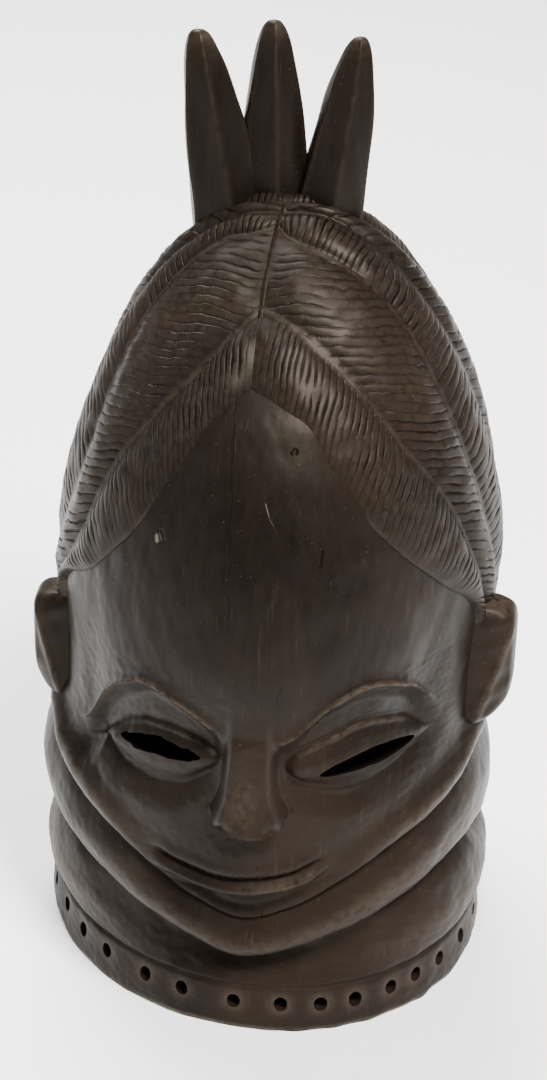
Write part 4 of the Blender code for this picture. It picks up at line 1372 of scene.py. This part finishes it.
@dataclass
class NeckRing:
    """The neck with its rolls, the pierced rim and the lower part of the hollow."""

    workshop: Workshop
    neck: Neck
    lines: Lines
    columns: int = 520
    ring_rows: int = 66
    band_rows: int = 22
    hollow_rows: int = 16
    ground: float = 0.00002
    hole_diameter: float = 0.0064
    hole_height: float = 0.0138
    face_holes: tuple[float, ...] = (-63, -52, -41, -27, -16, -2, 10, 20, 29, 39, 47, 56, 67)
    back_holes: int = 19

    def place(self, column: Array, row: Array) -> tuple[Array, dict[str, Array]]:
        """The skin, from behind the jaw down the outside, under the rim and up the hollow.

        Args:
            column: Shares across the grid, from 0 to 1.
            row: Shares up the grid, from 0 to 1.

        Returns:
            The points in metres, and the marks for the finish.
        """
        block, neck = self.workshop.block, self.neck
        turn = 2.0 * np.pi * column - np.pi
        angle = turn - 0.35 * np.sin(turn)
        jaw = self.lines.level(self.lines.face_edge, angle)
        parting = self.lines.level(self.lines.ring_parting, angle)
        tucked = jaw + 0.006
        falling = np.linspace(1.0, 0.0, self.ring_rows // 2 + 1) ** 1.15
        heights = [tucked, jaw + 0.0002]
        heights += [parting + (jaw - parting) * share for share in falling]
        heights += [neck.band_height + (parting - neck.band_height) * share for share in falling[1:]]
        level = neck.band_height * np.linspace(1.0, 0.06, self.band_rows)
        heights += [np.full_like(angle, height) for height in (*level, 0.0004, self.ground)]
        outer = np.array(heights)
        total = len(outer) + self.hollow_rows
        number = np.rint(row * total).astype(int)
        outside = number < len(outer)
        height = outer[np.clip(number, 0, len(outer) - 1), np.arange(len(angle))]
        base = block.point(angle, height)
        relief = neck.relief(angle, height)
        relief += 0.00024 * unevenness(base, 0.018, 8) + 0.00010 * unevenness(base, 0.006, 9)
        worn = self.cord_chafe(angle, height) * outside
        relief -= 0.0007 * worn
        edge = 1.0 - smooth_step(0.0, 0.0022, height)
        relief -= edge * (0.0009 + 0.0006 * unevenness(base, 0.020, 10))
        relief = np.where(number <= 1, -0.003, relief)
        outer_point = base + block.normal(angle, height) * relief[:, None]
        inward = np.clip((number - len(outer)) / (self.hollow_rows - 1.0), 0.0, 1.0)
        inner_point = block.inside(angle, np.clip(inward / 0.94 * jaw, self.ground, jaw))
        above = (number == total - 1) | (number == total)
        ledge = block.inside(angle, jaw + 0.003) * (1.02, 1.02, 1.0)
        inner_point = np.where(above[:, None], ledge, inner_point)
        point = np.where(outside[:, None], outer_point, inner_point)
        first = number == 0
        last = number == total
        start = block.point(angle, tucked) - block.normal(angle, tucked) * 0.003
        point = np.where((first | last)[:, None], start, point)
        # Paler on the roll crests, the bottom edge and round the cord holes: handling and cords, with painted
        # highlight on the crests.
        rubbed_and_highlight = neck.wear_and_highlight(angle, height) + 0.8 * worn
        bare_and_highlight = neck.bare_and_highlight(angle, height, base) + 0.2 * worn
        marks = {
            Surface.WEAR_AND_HIGHLIGHT.value: np.where(outside, np.clip(rubbed_and_highlight, 0.0, 1.0), 0.0),
            Surface.BARE_AND_HIGHLIGHT.value: np.where(outside, bare_and_highlight, 0.0),
        }
        return point, marks

    def cord_chafe(self, angle: Array, height: Array) -> Array:
        """How worn the skin is by cords that ran through the front holes of the rim.

        Args:
            angle: Angles from the front in radians, rising towards +X.
            height: Heights above the rim's underside in metres.

        Returns:
            How worn, from 0 to 1.
        """
        worn = np.zeros_like(angle)
        radius = self.workshop.block.neck_half_width
        for hole in np.radians(self.face_holes):
            away = np.hypot((angle - hole) * radius, height - self.hole_height)
            worn += hump(away, 0.0, 0.0044)
        return worn

    def drills(self) -> bpy.types.Object:
        """The holes round the rim, each a little out of round."""
        block = self.workshop.block
        first, last = self.face_holes[0] + 360.0, self.face_holes[-1]
        step = self.back_holes + 1
        behind = [last + (first - last) * number / step for number in range(1, step)]
        rng = np.random.default_rng(21)
        bm = bmesh.new()
        for angle in np.radians(list(self.face_holes) + behind):
            level = self.hole_height + rng.uniform(-0.0006, 0.0006)
            skin = block.point(np.array([angle]), np.array([level]))[0]
            inward = Vector((-skin[0], -skin[1], 0.0)).normalized()
            squeeze = Matrix.Diagonal((rng.uniform(0.88, 1.0), rng.uniform(1.0, 1.12), 1.0, 1.0))
            turned = inward.to_track_quat("Z", "Y").to_matrix().to_4x4() @ squeeze
            centre = Vector(skin) + inward * 0.5 * block.wall
            radius = self.hole_diameter / 2.0
            bmesh.ops.create_cone(
                bm, cap_ends=True, segments=20, radius1=radius * 1.06, radius2=radius * 0.94,
                depth=2.6 * block.wall + 2.0 * self.neck.band_relief,
                matrix=Matrix.Translation(centre) @ turned,
            )
        bmesh.ops.translate(bm, verts=bm.verts, vec=block.shift)
        mesh = bpy.data.meshes.new("drills")
        bm.to_mesh(mesh)
        bm.free()
        cutter = bpy.data.objects.new("drills", mesh)
        bpy.context.scene.collection.objects.link(cutter)
        return cutter

    def build(self, finish: bpy.types.Material) -> None:
        """Carves the neck and bores its holes.

        Args:
            finish: The material to give it.
        """
        rows = 2 + self.ring_rows + 1 + self.band_rows + 2 + self.hollow_rows
        bm = self.workshop.grid(self.columns, rows, self.place)
        self.workshop.weld(bm)
        ring = self.workshop.piece("neck", bm, finish)
        self.workshop.cut(ring, self.drills())
        self.workshop.deliver(ring)


@dataclass
class HairSide:
    """One side of the hair: a grooved outer skin over a plain one that is sunk in the head."""

    workshop: Workshop
    hair: Hair
    side: Side
    columns: int = 440

    def build(self, finish: bpy.types.Material) -> None:
        """Carves this side of the hair.

        Args:
            finish: The material to give it.
        """
        lobes = self.hair.lobes
        edges = np.cumsum((0, *self.hair.lobe_rows))

        def outer(column: Array, row: Array) -> tuple[Array, dict[str, Array]]:
            lobe = np.interp(row * edges[-1], edges, range(lobes + 1))
            lobe = np.where((lobe > 1e-6) & (lobe < 1.5 / self.hair.lobe_rows[0]), 0.35 * lobe, lobe)
            return self.hair.surface(self.side, column, lobe)

        def inner(column: Array, row: Array) -> tuple[Array, dict[str, Array]]:
            direction = self.hair.aim(self.side, column, row * lobes)
            angle = np.arctan2(direction[:, 0], -direction[:, 1])
            lift = np.clip(direction[:, 2], -1.0, 1.0)
            height = self.hair.block.crown_height * (self.hair.origin + (1.0 - self.hair.origin) * lift)
            return self.hair.block.point(angle, height) - direction * self.hair.sunk, {}

        skins = [
            self.workshop.grid(self.columns, edges[-1], outer),
            self.workshop.grid(self.columns // 8, edges[-1] // 8, inner),
        ]
        bm = skins[0]
        held = bpy.data.meshes.new("inner_skin")
        skins[1].to_mesh(held)
        skins[1].free()
        bm.from_mesh(held)
        bpy.data.meshes.remove(held)
        edges = [edge for edge in bm.edges if edge.is_boundary]
        bmesh.ops.bridge_loops(bm, edges=edges)
        piece = self.workshop.piece(f"hair_{self.side.name.lower()}", bm, finish)
        self.workshop.deliver(piece)


@dataclass
class Prong:
    """One of the upright prongs on the crown, pared with a knife into long facets."""

    workshop: Workshop
    name: str
    across: float
    back: float
    length: float
    width: float
    lean: float
    depth: float = 0.029
    foot: float = 0.985
    sunk: float = 0.030
    columns: int = 72
    rows: int = 90

    def place(self, column: Array, row: Array) -> tuple[Array, dict[str, Array]]:
        """The skin, from the sunken foot to the round tip.

        Args:
            column: Shares across the grid, from 0 to 1.
            row: Shares up the grid, from 0 to 1.

        Returns:
            The points in metres, and the marks for the finish.
        """
        turn = 2.0 * np.pi * column
        height = self.length - (self.length + self.sunk) * (1.0 - row) ** 2
        taper = np.clip(1.0 - height / self.length, 0.0, 1.15) ** 0.38
        sector = 2.0 * np.pi / 6.0
        within = ((turn + 0.35) % sector) - sector / 2.0
        flat = math.cos(sector / 2.0) / np.cos(within)
        edge = 0.92 * flat + 0.08
        wide = 0.5 * self.width * taper * edge * np.cos(turn)
        deep = 0.5 * self.depth * taper * edge * np.sin(turn)
        sway = math.tan(math.radians(self.lean)) * height
        foot = self.foot * self.workshop.block.crown_height
        point = np.stack((self.across + wide + sway, self.back + deep, foot + height), axis=-1)
        pared = 0.0005 * unevenness(point * (1.0, 1.0, 0.25), 0.012, 12)
        outward = np.stack((np.cos(turn), np.sin(turn), 0.0 * turn), axis=-1)
        point += outward * (pared * np.clip(taper, 0.0, 1.0))[:, None]
        corner = hump(np.abs(within), sector / 2.0, 0.08)
        tip = hump(height, self.length, 0.006)
        return point, {Surface.WEAR_AND_HIGHLIGHT.value: np.clip(0.22 * corner + 0.3 * tip, 0.0, 1.0)}

    def build(self, finish: bpy.types.Material) -> None:
        """Carves the prong.

        Args:
            finish: The material to give it.
        """
        bm = self.workshop.grid(self.columns, self.rows, self.place)
        self.workshop.weld(bm)
        self.workshop.deliver(self.workshop.piece(self.name, bm, finish))


@dataclass
class Ear:
    """One ear: a blunt flap with a flat top, a rim and a slanting ridge across its front."""

    workshop: Workshop
    face: Face
    side: Side
    height: float
    reach: float
    sunk: float = 0.012
    thickness: float = 0.019
    angle_deg: float = 71.0
    unevenness: float = 0.0070
    level: float = 0.431
    columns: int = 110
    rows: int = 90

    def place(self, column: Array, row: Array) -> tuple[Array, dict[str, Array]]:
        """The skin of the flap.

        Args:
            column: Shares across the grid, from 0 to 1.
            row: Shares up the grid, from 0 to 1.

        Returns:
            The points in metres, and the marks for the finish.
        """
        block, side = self.workshop.block, self.side.value
        angle = np.array([math.radians(self.angle_deg)])
        height = np.array([self.level * block.crown_height])
        relief = self.face.relief(angle, height)[:, None]
        root = block.point(angle, height) + block.normal(angle, height) * relief
        root = root[0] + (0.0, 0.5 * self.thickness, 0.5 * self.unevenness * side)
        turn = 2.0 * np.pi * column
        up = np.sin(np.pi * (row - 0.5))
        rounding = (1.0 - np.abs(up) ** 7) ** 0.5
        outline = 0.18 + 0.82 * (1.0 - np.where(up < 0.0, np.abs(up) ** 3.0, up**9)) ** 0.5
        lobed = np.abs(np.cos(turn)) ** 0.5 * np.sign(np.cos(turn))
        thick = np.abs(np.sin(turn)) ** 0.5 * np.sign(np.sin(turn)) * (0.72 + 0.28 * rounding)
        reach = np.where(lobed > 0.0, self.reach * outline, self.sunk) * lobed
        across = reach / self.reach
        front = np.clip(-thick, 0.0, 1.0)
        slope = across - 0.62 - 0.45 * up
        folded = 0.22 * self.thickness * np.clip(1.0 - np.abs(slope), 0.0, 1.0) * front
        ridge = 0.0012 * hump(slope, 0.0, 0.10) * front
        rim = 0.0010 * hump(across, 0.92, 0.07) * front
        deep = 0.5 * self.thickness * thick - folded - ridge - rim + 0.25 * reach
        level = root[2] + 0.5 * self.height * up
        point = np.stack((side * (root[0] + reach), root[1] + deep, level), axis=-1)
        point[:, 1] += 0.00030 * unevenness(point, 0.012, 14)
        # Paler on the ear's flat top, its ridge and its rim: painted highlight where light falls on the top,
        # and handling.
        wear_and_highlight = 0.9 * hump(up, 1.0, 0.10) + 0.7 * hump(slope, 0.0, 0.10) * front
        wear_and_highlight = wear_and_highlight + 0.4 * hump(across, 0.95, 0.06)
        return point, {Surface.WEAR_AND_HIGHLIGHT.value: np.clip(wear_and_highlight, 0.0, 1.0)}

    def build(self, finish: bpy.types.Material) -> None:
        """Carves the ear.

        Args:
            finish: The material to give it.
        """
        bm = self.workshop.grid(self.columns, self.rows, self.place)
        self.workshop.weld(bm)
        self.workshop.deliver(self.workshop.piece(f"ear_{self.side.name.lower()}", bm, finish))


@dataclass
class Studio:
    """The pale floor, the soft lights and the camera."""

    target: Triple = (-0.0032, 0.0022, 0.1932)
    turn_deg: float = 5.645
    elevation_deg: float = 28.57
    roll_deg: float = 1.830
    distance: float = 1.2
    lens: float = 88.8
    floor_size: float = 8.0

    def floor(self) -> None:
        """A plain pale floor."""
        bm = bmesh.new()
        bmesh.ops.create_grid(bm, x_segments=1, y_segments=1, size=self.floor_size / 2.0)
        mesh = bpy.data.meshes.new("floor")
        bm.to_mesh(mesh)
        bm.free()
        floor = bpy.data.objects.new("floor", mesh)
        bpy.context.scene.collection.objects.link(floor)
        paint = Shading("pale_floor")
        paint.feed(paint.shader.inputs["Base Color"], (0.97, 0.97, 0.97))
        paint.feed(paint.shader.inputs["Roughness"], 0.9)
        mesh.materials.append(paint.material)

    def lamp(self, name: str, place: Triple, size: float, power: float) -> None:
        """A soft square light that faces the mask.

        Args:
            name: Its name.
            place: Where it hangs.
            size: Its side in metres.
            power: Its power in watts.
        """
        light = bpy.data.lights.new(name, "AREA")
        light.energy = power
        light.size = size
        lamp = bpy.data.objects.new(name, light)
        bpy.context.scene.collection.objects.link(lamp)
        lamp.location = place
        aim = Vector(self.target) - Vector(place)
        lamp.rotation_euler = aim.to_track_quat("-Z", "Y").to_euler()

    def camera(self) -> None:
        """A camera where the photograph's stood."""
        turn, rise = math.radians(self.turn_deg), math.radians(self.elevation_deg)
        flat = math.cos(rise)
        away = Vector((math.sin(turn) * flat, -math.cos(turn) * flat, math.sin(rise)))
        data = bpy.data.cameras.new("camera")
        data.lens = self.lens
        camera = bpy.data.objects.new("camera", data)
        bpy.context.scene.collection.objects.link(camera)
        facing = away.to_track_quat("Z", "Y").to_matrix().to_4x4()
        rolled = Matrix.Rotation(math.radians(self.roll_deg), 4, "Z")
        place = Matrix.Translation(Vector(self.target) + away * self.distance)
        camera.matrix_world = place @ facing @ rolled
        bpy.context.scene.camera = camera

    def build(self) -> None:
        """Sets the stage."""
        self.floor()
        self.lamp("key", (0.7, -0.9, 1.9), 0.6, 135.0)
        self.lamp("fill", (-1.4, -0.9, 0.9), 0.9, 7.0)
        self.lamp("back", (-0.5, 1.0, 2.0), 1.2, 140.0)
        world = bpy.data.worlds.new("studio")
        world.use_nodes = True
        background = world.node_tree.nodes["Background"]
        background.inputs["Color"].default_value = (1.0, 1.0, 1.0, 1.0)
        background.inputs["Strength"].default_value = 0.3
        bpy.context.scene.world = world
        self.camera()


def main() -> None:
    """Builds every piece of the mask and its studio."""
    logging.basicConfig(level=logging.INFO, format="%(name)s: %(message)s", stream=sys.stdout)
    block = Block()
    lines = Lines(block)
    face = Face(block, lines)
    hair = Hair(block)
    workshop = Workshop(block)
    skin = WoodFinish("stained_wood").build()
    combed = WoodFinish("grooved_wood", grooved=True).build()
    Head(workshop, face, lines).build(skin)
    NeckRing(workshop, Neck(block, lines), lines).build(skin)
    for side in Side:
        HairSide(workshop, hair, side).build(combed)
    Ear(workshop, face, Side.RIGHT, height=0.053, reach=0.0178).build(skin)
    Ear(workshop, face, Side.LEFT, height=0.058, reach=0.0200).build(skin)
    Prong(workshop, "prong_1", -0.0272, 0.0100, length=0.0780, width=0.0372, lean=-10.5).build(skin)
    Prong(workshop, "prong_2", -0.0083, 0.0144, length=0.0825, width=0.0360, lean=-1.6).build(skin)
    Prong(workshop, "prong_3", 0.0149, 0.0100, length=0.0790, width=0.0335, lean=8.0).build(skin)
    Studio().build()
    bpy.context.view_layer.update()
    log.info("%d pieces", len(workshop.finished))


if __name__ == "__main__":
    main()
